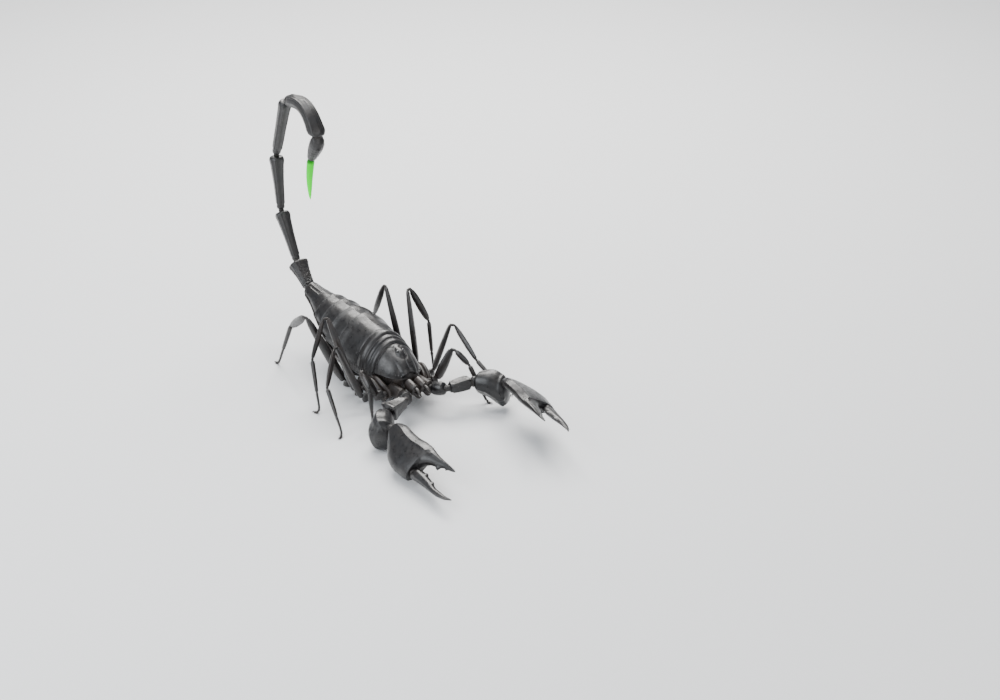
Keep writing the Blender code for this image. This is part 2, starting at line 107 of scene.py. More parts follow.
COXA_ENDS = {1: (8.2, -8.4, 6.6), 2: (10.0, -3.4, 5.6), 3: (9.8, 2.4, 5.0), 4: (9.2, 7.4, 4.8)}
COXA_RADIUS = 1.9
TROCHANTER_ENDS = {
    ("left", 1): (12.0, -8.0, 5.8), ("right", 1): (-12.0, -8.0, 6.8),
    ("left", 2): (14.0, -2.7, 6.0), ("right", 2): (-13.6, -2.7, 3.8),
    ("left", 3): (12.0, 3.6, 5.0), ("right", 3): (-12.4, 3.6, 3.4),
    ("left", 4): (12.3, 12.2, 4.8), ("right", 4): (-12.9, 9.3, 4.9),
}
LEG_LENGTHS = {1: (11.9, 8.0, 12.6), 2: (19.2, 15.9, 15.9), 3: (26.9, 14.6, 16.9), 4: (25.9, 17.9, 20.3)}
# Heading and pitch in degrees of femur and patella, and heading of the tibia, whose pitch the floor gives.
LEG_POSES = {
    ("left", 1): ((-18, 64), (-65, -34), -67), ("right", 1): ((180, 63), (-97, -29), 42),
    ("left", 2): ((34, 33), (-85, -32), -84), ("right", 2): ((113, 60), (-136, -31), -99),
    ("left", 3): ((75, 70), (-15, -60), -102), ("right", 3): ((118, 69), (-173, -62), -109),
    ("left", 4): ((91, 67), (80, -54), 74), ("right", 4): ((140, 63), (80, -31), 87),
}
FEMUR_RADII = {1: 1.1, 2: 1.0, 3: 1.0, 4: 1.05}
PATELLA_SLIMNESS = {1: 0.72, 2: 0.85, 3: 0.75, 4: 0.92}
SHIN_SLIMNESS = 0.72
LEG_FLATNESS = (0.88, 1.28)   # half width and half depth of a leg, as shares of its radius
ANKLE_HEIGHT = 1.15
FOOT_LENGTH = 2.6
CLAW_RISE = 0.16    # how far a claw's middle stands above its root, before it hooks down to the floor
# Half width and half depth at root, middle and tip of a foot's claws, spines and spurs.
CLAW_SIZES = ((0.12, 0.13), (0.1, 0.11), (0.025, 0.03))
SPINE_SIZES = ((0.06, 0.06), (0.045, 0.045), (0.012, 0.012))
SPUR_SIZES = ((0.13, 0.13), (0.09, 0.09), (0.02, 0.02))
FOOT_HEADINGS = {1: -70, 2: -35, 3: 60, 4: 85}

TAIL_BASE = (0.0, 51.4, 20.0)
TAIL_ENTRY = 25       # pitch in degrees of the trunk where the tail leaves it
# Length, pitch in degrees and radius of the tail's rings, its bulb and its sting.
TAIL_SEGMENTS = ((11.1, 42, 2.9), (18.4, 59, 2.25), (20.0, 85, 2.2), (24.1, 110, 1.95), (22.1, 201, 2.7))
TAIL_BOWS = (0, 0, 0, 0, 4.6)
VESICLE = (11.2, 301, 2.45)
STING = (14.6, 275, 1.25)
END_RING_STOP = 1.0   # how far the last ring stops short of its joint
END_RING_SLANT = 34   # degrees that its end leans, which brings it to the bulb
BULB_SLANT = 24
# Keels round the tail's rings, as angle in degrees and height. The first and the last ring differ.
RING_KEELS = ((52, 0.24), (128, 0.24), (14, 0.2), (166, 0.2), (-46, 0.16), (226, 0.16), (-74, 0.12),
              (254, 0.12))
FIRST_RING_KEELS = tuple((centre, tall * 1.5) for centre, tall in RING_KEELS) + ((-16, 0.2), (196, 0.2))
END_RING_KEELS = ((48, 0.2), (132, 0.2), (-40, 0.26), (220, 0.26), (-90, 0.24), (6, 0.1), (174, 0.1))

PEDIPALP = {
    "left": {
        "coxa": (5.3, -14.4, 7.2), "trochanter": (7.9, -20.4, 8.8), "femur": (17.2, -20.6, 8.8),
        "patella": (24.2, -31.6, 10.0), "finger_root": (18.5, -52.3, 11.7),
    },
    "right": {
        "coxa": (-5.3, -14.4, 7.2), "trochanter": (-7.9, -20.2, 9.2), "femur": (-16.8, -22.2, 7.6),
        "patella": (-23.2, -33.6, 8.3), "finger_root": (-24.1, -55.7, 7.8),
    },
}
ARM_FLARE = {"left": 1.0, "right": 1.5}      # end of the arm's third segment, as a share of its radius
ARM_SPIKES = {"left": 0.25, "right": 0.75}   # height of the spikes on that end
ARM_SAG = {"left": 1.0, "right": 0.8}        # how much of the drop below each fourth segment takes
# Fourth segment of the claw arm: share of length, centre outward, centre down, half width, half depth.
ARM_ROWS = (
    (0.0, 0.2, 0.2, 1.8, 2.2),
    (0.1, 0.9, 0.5, 2.7, 3.2),
    (0.33, 2.2, 1.0, 4.0, 4.4),
    (0.55, 2.6, 2.3, 4.3, 5.1),
    (0.7, 2.4, 3.2, 4.2, 5.1),
    (0.87, 1.6, 3.5, 3.4, 3.9),
    (1.0, 0.9, 3.4, 2.2, 2.4),
)
CLAW_THIN = {"left": 0.68, "right": 0.92}   # depth of each claw, as a share of the rows below
CLAW_LIFT = 4.2       # rise of a claw thinned to nothing
CLAW_ROLL = {"left": 27, "right": 40}       # degrees the outer edge of the claw hangs below level
FIXED_FINGER_STRETCH = {"left": 1.25, "right": 1.0}
CLAW_HAND = 22.1      # length of the hand, from its wrist to where the fingers part
HAND_END = 21.5       # the last row of the hand below
# Claw: distance from the wrist, inner edge, outer edge, half depth. The hand and its fixed finger come first.
CLAW_ROWS = (
    (0.7, -2.8, 0.2, 1.3),
    (2.4, -4.0, 1.6, 2.2),
    (6.1, -4.6, 4.6, 2.9),
    (10.1, -4.2, 7.4, 3.2),
    (14.0, -4.1, 8.4, 3.3),
    (18.5, -4.5, 8.5, 3.1),
    (HAND_END, -4.4, 8.2, 2.7),
    (22.2, -4.3, 2.8, 2.3),
    (24.8, -3.9, 0.3, 1.8),
    (27.8, -3.6, -0.6, 1.3),
    (31.0, -3.5, -1.7, 0.85),
    (34.0, -3.3, -2.3, 0.5),
    (35.8, -3.1, -2.7, 0.22),
)
FINGER_ROWS = (
    (22.6, 3.5, 7.2, 1.5),
    (24.0, 3.1, 7.0, 1.9),
    (29.5, 3.7, 6.7, 1.6),
    (34.7, 4.8, 6.6, 1.1),
    (39.0, 4.8, 6.0, 0.6),
    (42.6, 4.2, 4.6, 0.22),
)

# Outlines: share of length, share of width.
FEMUR_OUTLINE = ((0, 0.6), (0.04, 0.85), (0.15, 1.1), (0.4, 1.15), (0.7, 0.98), (0.92, 0.75), (1, 0.5))
PATELLA_OUTLINE = ((0, 0.45), (0.08, 0.72), (0.3, 1.1), (0.6, 1.15), (0.9, 0.88), (1, 0.55))
TAIL_OUTLINE = ((0, 0.5), (0.05, 0.62), (0.2, 0.66), (0.5, 0.78), (0.8, 0.98), (0.93, 1.1), (1, 0.82))
TAIL_END_OUTLINE = ((0, 0.6), (0.05, 0.76), (0.2, 0.84), (0.5, 0.9), (0.8, 1.0), (0.93, 1.06), (1, 0.82))
VESICLE_OUTLINE = ((0, 0.6), (0.1, 0.86), (0.3, 1.0), (0.55, 0.93), (0.8, 0.72), (1, 0.5))
STING_OUTLINE = ((0, 0.9), (0.1, 1.02), (0.35, 0.95), (0.65, 0.72), (0.88, 0.4), (1, 0.1))

# The animal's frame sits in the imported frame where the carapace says.
low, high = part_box("carapace")
SHIFT = np.array(((low[0] + high[0]) / 2, low[1] - CARAPACE[0] * MM, 0.0))

# ---------------------------------------------------------------- lines, noise and grids


def unit(vectors):
    vectors = np.asarray(vectors, float)
    return vectors / np.maximum(np.linalg.norm(vectors, axis=-1, keepdims=True), 1e-12)


def mix(start, end, share):
    return start + (end - start) * share


def smooth_line(rows, at):
    """Values at shares `at` of rows (share, value, ...), on a smooth line that never overshoots."""
    rows, at = np.asarray(rows, float), np.asarray(at, float)
    place, value = rows[:, 0], rows[:, 1:]
    step = np.diff(place)[:, None]
    slope = np.diff(value, axis=0) / step
    product = slope[:-1] * slope[1:]
    total = np.where(product > 0, slope[:-1] + slope[1:], 1.0)
    bend = np.concatenate((slope[:1], np.where(product > 0, 2 * product / total, 0.0), slope[-1:]))
    index = np.clip(np.searchsorted(place, at, side="right") - 1, 0, len(place) - 2)
    width = step[index]
    t = np.clip((at - place[index])[:, None] / width, 0, 1)
    return ((2 * t**3 - 3 * t**2 + 1) * value[index] + (t**3 - 2 * t**2 + t) * width * bend[index]
            + (3 * t**2 - 2 * t**3) * value[index + 1] + (t**3 - t**2) * width * bend[index + 1])


def spread(count, ends=0.5):
    """Shares from 0 to 1 that crowd towards both ends."""
    even = np.linspace(0, 1, count)
    return (1 - ends) * even + ends * (0.5 - 0.5 * np.cos(np.pi * even))


def around(columns):
    """Angles round a closed section."""
    return np.linspace(0, 2 * np.pi, columns, endpoint=False)[None, :]


def fractions(cells, seed):
    """Three fixed fractions of 1 for every whole-number cell."""
    mixed = seed * 7919
    for index, prime in enumerate((73856093, 19349663, 83492791)):
        mixed = mixed ^ (cells[..., index] * prime)
    mixed &= 0xFFFFFFFF
    parts = []
    for _ in range(3):
        mixed = ((mixed ^ (mixed >> 16)) * 0x45D9F3B) & 0xFFFFFFFF
        mixed ^= mixed >> 15
        parts.append((mixed & 0xFFFF) / 65536.0)
    return np.stack(parts, -1)


def grains(points, size, seed=0, radius=0.55):
    """Height from 0 to 1 of round grains, about one to each cube of this size."""
    cell = np.floor(points / size).astype(np.int64)
    best = np.zeros(points.shape[:-1])
    for offset in np.ndindex(3, 3, 3):
        near = cell + (np.array(offset) - 1)
        centre = (near + 0.5 + (fractions(near, seed) - 0.5) * 0.8) * size
        distance = np.sum((points - centre) ** 2, axis=-1) / (size * radius) ** 2
        best = np.maximum(best, np.clip(1 - distance, 0, 1))
    return best


def wobble(points, size, seed=0):
    """Soft noise from -1 to 1."""
    place = points / size
    cell = np.floor(place).astype(np.int64)
    t = place - cell
    t = t * t * (3 - 2 * t)
    total = 0
    for corner in np.ndindex(2, 2, 2):
        weight = np.prod(np.where(np.array(corner), t, 1 - t), axis=-1)
        total = total + weight * fractions(cell + np.array(corner), seed)[..., 0]
    return total * 2 - 1


def hump(value, centre, width):
    return np.exp(-(((value - centre) / width) ** 2))


def ridge(angle, centre, width):
    """A hump round a closed section, with the centre in degrees."""
    return hump((angle - math.radians(centre) + np.pi) % (2 * np.pi) - np.pi, 0, width)


def ridges(angle, rows):
    """Several of them, from rows of (centre, height, width)."""
    return sum(tall * ridge(angle, centre, width) for centre, tall, width in rows)


def keel(angle, centre, width, crest, foot, spread_width):
    """A crisp crest on a wider, softer foot."""
    return ridge(angle, centre, width) * crest + foot * ridge(angle, centre, spread_width)


def beads(share, count, sharpness=1.5):
    """A row of teeth along a share, from 0 to 1."""
    return (0.5 + 0.5 * np.cos(2 * np.pi * share * count)) ** sharpness


def between(value, low, high, soft):
    """1 between two places and 0 outside, with soft edges."""
    rise = np.clip((value - low) / soft, 0, 1)
    fall = np.clip((high - value) / soft, 0, 1)
    return (rise * rise * (3 - 2 * rise)) * (fall * fall * (3 - 2 * fall))


def superellipse(angle, power):
    cosine, sine = np.cos(angle), np.sin(angle)
    return np.sign(cosine) * np.abs(cosine) ** (2 / power), np.sign(sine) * np.abs(sine) ** (2 / power)


def grid_normals(grid, wrap):
    down = np.gradient(grid, axis=0)
    across = np.roll(grid, -1, axis=1) - np.roll(grid, 1, axis=1) if wrap else np.gradient(grid, axis=1)
    return unit(np.cross(down, across))


def grid_faces(rows, columns, wrap):
    index = np.arange(rows * columns).reshape(rows, columns)
    after = np.roll(index, -1, axis=1)
    quads = np.stack((index[:-1], after[:-1], after[1:], index[1:]), -1)
    return (quads if wrap else quads[:, :-1]).reshape(-1, 4)


# ---------------------------------------------------------------- shapes

# A shape is (points, quads, triangles). A surface also keeps what its bristles need.
Surface = namedtuple("Surface", "grid normals share shape")


def join(shapes):
    points, quads, triangles, offset = [], [], [], 0
    for shape in shapes:
        points.append(shape[0])
        quads.append(shape[1] + offset)
        triangles.append(shape[2] + offset)
        offset += len(shape[0])
    return np.concatenate(points), np.concatenate(quads), np.concatenate(triangles)


def oriented(shape):
    """The shape with its faces turned outwards, going by its signed volume."""
    points, quads, triangles = shape
    fans = np.concatenate((quads[:, :3], quads[:, [0, 2, 3]], triangles))
    a, b, c = (points[fans[:, index]] for index in range(3))
    if np.einsum("ij,ij->i", a, np.cross(b, c)).sum() < 0:
        return points, quads[:, ::-1], triangles[:, ::-1]
    return shape


def closed_tube(grid):
    """A tube whose first and last rings have shrunk to points."""
    rings = grid[1:-1]
    rows, columns = rings.shape[:2]
    points = np.concatenate((rings.reshape(-1, 3), grid[0].mean(0)[None], grid[-1].mean(0)[None]))
    ring = np.arange(columns)
    after = (ring + 1) % columns
    last = (rows - 1) * columns
    first_fan = np.stack((after, ring, np.full(columns, rows * columns)), -1)
    last_fan = np.stack((ring + last, after + last, np.full(columns, rows * columns + 1)), -1)
    return oriented((points, grid_faces(rows, columns, True), np.concatenate((first_fan, last_fan))))


def raise_grid(grid, height):
    """A tube's grid moved outwards by a height in millimetres, and its normals."""
    normals = grid_normals(grid, True)
    if np.sum(normals * (grid - grid.mean(axis=1, keepdims=True))) < 0:
        normals = -normals
    return grid + normals * height[..., None], normals


def rounded(size, share, length, cap):
    """Sizes that shrink to nothing in a round cap at both ends."""
    reach = np.clip(np.minimum(share, 1 - share) * length / cap, 0, 1)
    return size * np.sqrt(np.clip(1 - (1 - reach) ** 2, 0, 1))


def stack(path, side, rise, widths, depths, columns, share, power=2.0, relief=None):
    """A tube of superellipses round a path. Angle 0 is to the side, a quarter turn is along the rise."""
    angle = around(columns)
    across, high = superellipse(angle, power)
    side, rise = np.broadcast_to(side, path.shape), np.broadcast_to(rise, path.shape)
    grid = (path[:, None] + side[:, None] * (across * widths[:, None])[..., None]
            + rise[:, None] * (high * depths[:, None])[..., None])
    height = np.zeros(grid.shape[:2])
    if relief:
        fade = np.minimum(1, np.minimum(widths, depths) / 0.4)
        height = relief(share[:, None], angle, grid) * fade[:, None]
    grid, normals = raise_grid(grid, height)
    return Surface(grid, normals, share, closed_tube(grid))


def sweep(path, widths, depths, up, columns, share, turn=1, slant=(0, 0), **section):
    """A stack square to its path, whose first and last sections may lean by a slant in degrees."""
    along = unit(np.gradient(path, axis=0))
    side = unit(np.cross(along, up))
    lean = np.radians(slant[0] * (1 - share) ** 5 + slant[1] * share**5)[:, None]
    rise = np.cross(side, along) * np.cos(lean) - along * np.sin(lean)
    return stack(path, side * turn, rise, widths, depths, columns, share, **section)


def limb(start, end, width, depth, outline, up, rows=60, columns=32, bow=(0, 0, 0), cap=0.5, **section):
    """One limb segment, whose thickness follows an outline of (share of length, share of width)."""
    start, end = np.array(start, float), np.array(end, float)
    share = spread(rows)
    path = start + np.outer(share, end - start) + np.outer(np.sin(np.pi * share), bow)
    size = rounded(smooth_line(outline, share)[:, 0], share, np.linalg.norm(end - start), cap)
    return sweep(path, size * width, size * depth, up, columns, share, **section)


def chain(stations, up, rows, columns, size=(1, 1), cap=0.4, floor=None, **section):
    """One tube through stations of (point, half width, half depth), in shares of a size."""
    spots = np.array([(*point, width * size[0], depth * size[1]) for point, width, depth in stations])
    place = np.concatenate(((0,), np.cumsum(np.linalg.norm(np.diff(spots[:, :3], axis=0), axis=1))))
    share = spread(rows)
    values = smooth_line(np.column_stack((place / place[-1], spots)), share)
    sizes = rounded(values[:, 3:], share[:, None], place[-1], cap)
    made = sweep(values[:, :3], sizes[:, 0], sizes[:, 1], up, columns, share, **section)
    if floor is not None:
        made.grid[..., 2] = np.maximum(made.grid[..., 2], floor)
        made = made._replace(shape=closed_tube(made.grid))
    return made


def ball(centre, radii, columns, rows):
    """An ellipsoid."""
    pitch = np.linspace(-np.pi / 2, np.pi / 2, rows)[:, None]
    angle = around(columns)
    grid = np.stack((np.cos(pitch) * np.cos(angle), np.cos(pitch) * np.sin(angle),
                     np.sin(pitch) + 0 * angle), -1)
    return closed_tube(grid * np.array(radii, float) + np.array(centre, float))


def bridge(start, end, radius):
    """Soft wrinkled skin over a joint: a short fat tube that runs a little way into both neighbours."""
    along = unit(end - start)
    hint = UP if abs(along[2]) < 0.9 else X_AXIS
    inside = along * radius * 0.7
    return limb(start - inside, end + inside, radius, radius, ((0, 0.8), (0.5, 1.0), (1, 0.8)), hint, 26, 20,
                relief=lambda share, angle, grid: 0.04 * np.cos(share * 40), cap=radius * 0.9).shape


def polar(heading, pitch):
    heading, pitch = math.radians(heading), math.radians(pitch)
    level = math.cos(pitch)
    return np.array((level * math.cos(heading), level * math.sin(heading), math.sin(pitch)))


def setback(radius, before, joint, after):
    """How far a segment of this end radius stops short of a bent joint."""
    one, other = unit(np.subtract(before, joint)), unit(np.subtract(after, joint))
    angle = math.acos(float(np.clip(one @ other, -1, 1)))
    return radius / math.tan(angle / 2) + GAP / 2 / math.sin(angle / 2)


# ---------------------------------------------------------------- materials


def new_material(name):
    material = bpy.data.materials.new(name)
    material.use_nodes = True
    return material, material.node_tree, material.node_tree.nodes["Principled BSDF"]


def set_sockets(tree, node, sockets):
    """Sets a node's inputs, each to a value or to another node's output."""
    for key, value in sockets.items():
        if isinstance(value, bpy.types.NodeSocket):
            tree.links.new(value, node.inputs[key])
        else:
            node.inputs[key].default_value = value


def add_node(tree, kind, sockets, operation=None):
    node = tree.nodes.new("ShaderNode" + kind)
    if operation:
        node.operation = operation
    set_sockets(tree, node, sockets)
    return node


def noise(tree, place, scale, detail):
    return add_node(tree, "TexNoise", {"Vector": place, "Scale": scale, "Detail": detail}).outputs["Fac"]


def colour_ramp(tree, value, stops):
    """A colour that follows a value, from stops of (value, colour)."""
    ramp = add_node(tree, "ValToRGB", {"Fac": value})
    elements = ramp.color_ramp.elements
    for index, (position, colour) in enumerate((stops[0], stops[-1])):
        elements[index].position = position
        elements[index].color = (*colour, 1)
    for position, colour in stops[1:-1]:
        elements.new(position).color = (*colour, 1)
    return ramp.outputs["Color"]


def shell_material(name, colour, tint, roughness, grain_mm, grain_depth, coat=0.14):
    """Chitin: a dark glossy shell with fine grains, soft colour patches and uneven polish."""
    material, tree, shader = new_material(name)
    place = add_node(tree, "TexCoord", {}).outputs["Object"]
    patches = noise(tree, place, 260, 6)
    span = add_node(tree, "MapRange", {"Value": noise(tree, place, 900, 4), "From Min": 0.3, "From Max": 0.7,
                                       "To Min": roughness * 0.75, "To Max": roughness * 1.35})
    cells = add_node(tree, "TexVoronoi", {"Vector": place, "Scale": 1 / (grain_mm * MM)})
    pits = noise(tree, place, 2.5 / (grain_mm * MM), 3)
    grain = add_node(tree, "Math", {0: pits, 1: cells.outputs["Distance"]}, "SUBTRACT")
    bump = add_node(tree, "Bump", {"Strength": 0.5, "Distance": grain_depth * MM,
                                   "Height": grain.outputs["Value"]})
    set_sockets(tree, shader, {
        "Base Color": colour_ramp(tree, patches, ((0.35, colour), (0.75, tint))),
        "Roughness": span.outputs["Result"], "Normal": bump.outputs["Normal"],
        "Specular IOR Level": 0.5, "Coat Weight": coat, "Coat Roughness": 0.3,
    })
    return material


def sting_material(tip, base):
    """Bright green, dark where it leaves the black bulb, with a painted glow: a faint emission in the same
    green.
    """
    material, tree, shader = new_material("sting_green")
    place = add_node(tree, "TexCoord", {}).outputs["Object"]
    height = add_node(tree, "SeparateXYZ", {"Vector": place}).outputs["Z"]
    share = add_node(tree, "MapRange", {"Value": height, "From Min": tip, "From Max": base})
    shade = add_node(tree, "Math", {0: noise(tree, place, 700, 4), 1: 0.06, 2: share.outputs["Result"]},
                     "MULTIPLY_ADD")
    green = colour_ramp(tree, shade.outputs["Value"], (
        (0.0, (0.02, 0.6, 0.006)), (0.45, (0.008, 0.52, 0.004)), (0.94, (0.005, 0.42, 0.002)),
        (1.0, (0.002, 0.12, 0.001)),
    ))
    # The emission is a painted glow: the sting gives off a faint green light though it is no lamp.
    set_sockets(tree, shader, {"Base Color": green, "Emission Color": green, "Emission Strength": 1.0,
                               "Roughness": 0.4, "Specular IOR Level": 0.2})
    return material


BLACK = (0.0055, 0.0055, 0.0065)
BLACK_SHELL = shell_material("shell_black", BLACK, (0.011, 0.0095, 0.009), 0.34, 0.35, 0.02)
ROUGH_SHELL = shell_material("shell_rough", BLACK, (0.012, 0.010, 0.009), 0.38, 0.28, 0.03)
LEG_SHELL = shell_material("shell_leg", (0.0065, 0.006, 0.0065), (0.016, 0.011, 0.009), 0.36, 0.2, 0.02)
UNDER_SHELL = shell_material("shell_under", (0.012, 0.0095, 0.0085), (0.026, 0.018, 0.014), 0.4, 0.3, 0.03,
                             0.1)
SOFT_SKIN = shell_material("soft_skin", (0.010, 0.009, 0.009), (0.022, 0.017, 0.015), 0.5, 0.16, 0.06, 0.0)
HORN = shell_material("claw_horn", (0.010, 0.006, 0.004), (0.03, 0.014, 0.008), 0.22, 0.12, 0.01)
BRISTLE = shell_material("bristle", (0.012, 0.008, 0.006), (0.035, 0.022, 0.014), 0.45, 0.1, 0.004, 0.0)
EYE = shell_material("eye_black", (0.004, 0.004, 0.005), (0.006, 0.006, 0.007), 0.05, 0.4, 0.001, 1.0)

# ---------------------------------------------------------------- making pieces


def make_piece(name, shape, material, *nodes):
    """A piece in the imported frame, inside the solids' box, that stands for some of their nodes."""
    points, quads, triangles = shape
    world = np.clip(points * MM + SHIFT, np.array(cad_box[0]), np.array(cad_box[1]))
    mesh = bpy.data.meshes.new(name)
    mesh.vertices.add(len(world))
    mesh.vertices.foreach_set("co", world.astype(np.float32).ravel())
    mesh.loops.add(quads.size + triangles.size)
    corners = np.concatenate((quads.ravel(), triangles.ravel()))
    mesh.loops.foreach_set("vertex_index", corners.astype(np.int32))
    mesh.polygons.add(len(quads) + len(triangles))
    starts = np.concatenate((np.arange(len(quads)) * 4, quads.size + np.arange(len(triangles)) * 3))
    mesh.polygons.foreach_set("loop_start", starts.astype(np.int32))
    mesh.update(calc_edges=True)
    mesh.shade_smooth()
    mesh.materials.append(material)
    piece = bpy.data.objects.new(name, mesh)
    bpy.context.scene.collection.objects.link(piece)
    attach(piece, "root")
    if nodes:
        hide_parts(*nodes)
    return piece


BAKE_SQUARES = 8       # squares along each side of the bristles' bake map
BAKE_FILL = 0.11       # width of the part of a square that bristles are rooted in
BAKE_EDGE = 0.004      # distance of that part from the square's corner
BAKE_BRISTLE = 0.003   # width of one bristle on the map
GOLDEN = 0.6180339     # spreads a bristle's points over that width


class Coat:
    """Bristles of one region, each a thin curved cone, joined in one mesh."""

    def __init__(self, name):
        self.name = name
        self.rows = []

    def sow(self, surface, count, length, seed, lean=0.9, thickness=0.03, part=None):
        """Bristles rooted on a surface, or on a part of its length, leaning along it towards its far end."""
        grid, normals = surface.grid[2:-2], surface.normals[2:-2]
        chance = np.linalg.norm(grid - grid.mean(axis=1, keepdims=True), axis=-1)
        if part:
            chance = chance * between(surface.share[2:-2, None], *part, 0.1)
        draw = np.random.default_rng(seed)
        picks = draw.choice(chance.size, count, p=chance.ravel() / chance.sum())
        row, column = np.divmod(picks, grid.shape[1])
        root, out = grid[row, column], normals[row, column]
        along = unit(np.gradient(grid, axis=0))[row, column]
        jitter = draw.normal(0, 0.22, (count, 3))
        lengths = length * draw.uniform(0.55, 1.15, count)
        # Each surface has a square of its own on the bake map.
        corner = np.array(divmod(len(self.rows), BAKE_SQUARES))[::-1] / BAKE_SQUARES
        inside = np.stack((row / grid.shape[0], column / grid.shape[1]), -1) * BAKE_FILL + BAKE_EDGE
        self.rows.append((root - out * 0.05, unit(out + jitter), unit(along * lean + out * 0.35 + jitter),
                          lengths, np.full(count, thickness), corner + inside))

    def finish(self):
        """The joined mesh, where each bristle is three rings of three points and a tip."""
        root, out, tip, length, thick, patch = (np.concatenate(column) for column in zip(*self.rows))
        side = unit(np.cross(out, tip + 1e-3))
        other = np.cross(out, side)
        rings = []
        for share, size in ((0.0, 1.0), (0.35, 0.8), (0.7, 0.5)):
            centre = root + out * (length * share * (1 - share * 0.5))[:, None]
            centre = centre + tip * (length * share * share * 0.5)[:, None]
            for turn in around(3)[0]:
                around_centre = side * math.cos(turn) + other * math.sin(turn)
                rings.append(centre + around_centre * (thick * size)[:, None])
        rings.append(root + out * (length * 0.5)[:, None] + tip * (length * 0.5)[:, None])
        each = len(rings)
        triangles = np.array([(0, 2, 1), (6, 7, 9), (7, 8, 9), (8, 6, 9)])
        starts = (np.arange(len(root)) * each)[:, None, None]
        shape = (np.stack(rings, 1).reshape(-1, 3), (grid_faces(3, 3, True) + starts).reshape(-1, 4),
                 (triangles + starts).reshape(-1, 3))
        mesh = make_piece(self.name, shape, BRISTLE).data
        loops = np.empty(len(mesh.loops), np.int32)
        mesh.loops.foreach_get("vertex_index", loops)
        spot = np.array([((index * GOLDEN) % 1, index / each) for index in range(each)]) * BAKE_BRISTLE
        uvs = patch[loops // each] + spot[loops % each]
        mesh.uv_layers.new(name="OFBake").data.foreach_set("uv", uvs.astype(np.float32).ravel())


BODY_COAT = Coat("bristles_body")
PALP_COAT = Coat("bristles_pedipalps")
LEG_COAT = Coat("bristles_legs")
TAIL_COAT = Coat("bristles_tail")

# ---------------------------------------------------------------- trunk


def trunk(places):
    return smooth_line(TRUNK_LINES, places).T


def trunk_point(place, angle, upper, scale=1.0):
    """A point on the trunk's skin at one place and an angle in degrees from its left flank."""
    flank, half, rise, drop = (value[0] for value in trunk([place]))
    across, high = superellipse(math.radians(angle), BACK_POWER if upper else BELLY_POWER)
    return np.array((half * across * scale, place, flank + (rise if upper else -drop) * high * scale))


def trunk_tube(rear, rows, columns, cap, scale, fit, back_power):
    """A tube inside the trunk, with sizes fitted to the trunk's: its grid, flank heights and shrinking."""
    share = spread(rows, 0.2)
    place = mix(SKIN_ENDS[0], rear, share)
    flank, half, rise, drop = (value[:, None] for value in fit(*trunk(place)))
    angle = around(columns)
    top = np.sin(angle) >= 0
    curves = zip(superellipse(angle, back_power), superellipse(angle, BELLY_POWER))
    across, high = (np.where(top, back, belly) for back, belly in curves)
    size = rounded(np.full(rows, scale), share, rear - SKIN_ENDS[0], cap)[:, None]
    high = np.where(top, rise, drop) * high * size
    return np.stack((half * across * size, place[:, None] + 0 * angle, flank + high), -1), flank, size


def plate(front, rear, rows, columns, upper, margin, flare, thickness, relief, warp=None):
    """A curved plate with real edges over part of the trunk, up to a margin in degrees from its flanks."""
    sign = 1 if upper else -1
    share = spread(rows, 0.3)[:, None]
    angle = np.radians(np.linspace(margin, 180 - margin, columns))[None, :]
    place = front + (rear - front) * share
    flank, half, rise, drop = trunk(place[:, 0])[..., None]
    across, high = superellipse(angle, BACK_POWER if upper else BELLY_POWER)
    grow = smooth_line(flare, share[:, 0])
    tall = (rise if upper else -drop) * grow
    grid = np.stack((half * grow * across, place + 0 * angle, flank + tall * high + sign * GAP / 2), -1)
    if warp:
        grid = warp(share, grid)
    edge = np.minimum(np.minimum(share, 1 - share) * (rear - front),
                      np.minimum(angle - angle[0, 0], angle[0, -1] - angle) * half.mean())
    normals = grid_normals(grid, False)
    if np.sum(normals[..., 2]) * sign < 0:
        normals = -normals
    roll = np.clip(1 - edge / 0.3, 0, 1)[..., None] ** 2
    outer = grid + normals * relief(share, grid, edge)[..., None] - normals * roll * thickness * 0.5
    index = np.arange(rows * columns).reshape(rows, columns)
    border = np.concatenate((index[0], index[1:, -1], index[-1, -2::-1], index[-2:0:-1, 0]))
    after = np.roll(border, -1)
    top = grid_faces(rows, columns, False)
    rim = np.stack((after, border, border + index.size, after + index.size), -1)
    points = np.concatenate((outer, grid - normals * thickness)).reshape(-1, 3)
    faces = np.concatenate((top, top[:, ::-1] + index.size, rim))
    return oriented((points, faces, np.zeros((0, 3), int)))


def lip(edge, height=0.1, width=0.28):
    """The raised lip that runs round a plate."""
    return height * hump(edge, width, width * 0.7)


def carapace_relief(share, grid, edge):
    x, y = grid[..., 0], grid[..., 1]
    side = np.abs(x)
    height = lip(edge) + 0.02 * wobble(grid, 1.8, 5)
    # The slit along the middle of the front, and the short furrow behind the eyes.
    height -= 0.22 * hump(x, 0, 0.14) * between(y, -10.4, -7.2, 0.8)
    height -= 0.12 * hump(x, 0, 0.4) * between(y, -2.6, 0.9, 0.8)
    ring = np.hypot(x / TUBERCLE[0], (y - EYE_PLACE) / TUBERCLE[1])
    height += TUBERCLE[2] * np.clip(1 - ring**2, 0, 1) ** 1.1 - 0.08 * hump(ring, 1.2, 0.2)
    # Soft furrows that part the rear lobes from the sides.
    furrow = np.abs(side - (1.1 + 4.6 * np.clip((y + 3.2) / 4.2, 0, 1.2) ** 1.3))
    height -= 0.09 * hump(furrow, 0, 0.6) * between(y, -3.4, 0.6, 1.2)
    height += 0.12 * hump(side, 5.0, 1.9) * hump(y, -2.6, 2.6)
    # A groove parts the rear margin, which is a round roll like the two plates behind it.
    height += 0.12 * hump(y, -2.4, 1.0) - 0.42 * hump(y, -1.05, 0.32) + 0.25 * hump(y, 0.1, 0.75)
    return height + 0.04 * np.clip((side - 5.0) / 2.4, 0, 1) * grains(grid, 0.5, 3) * (edge > 0.5)


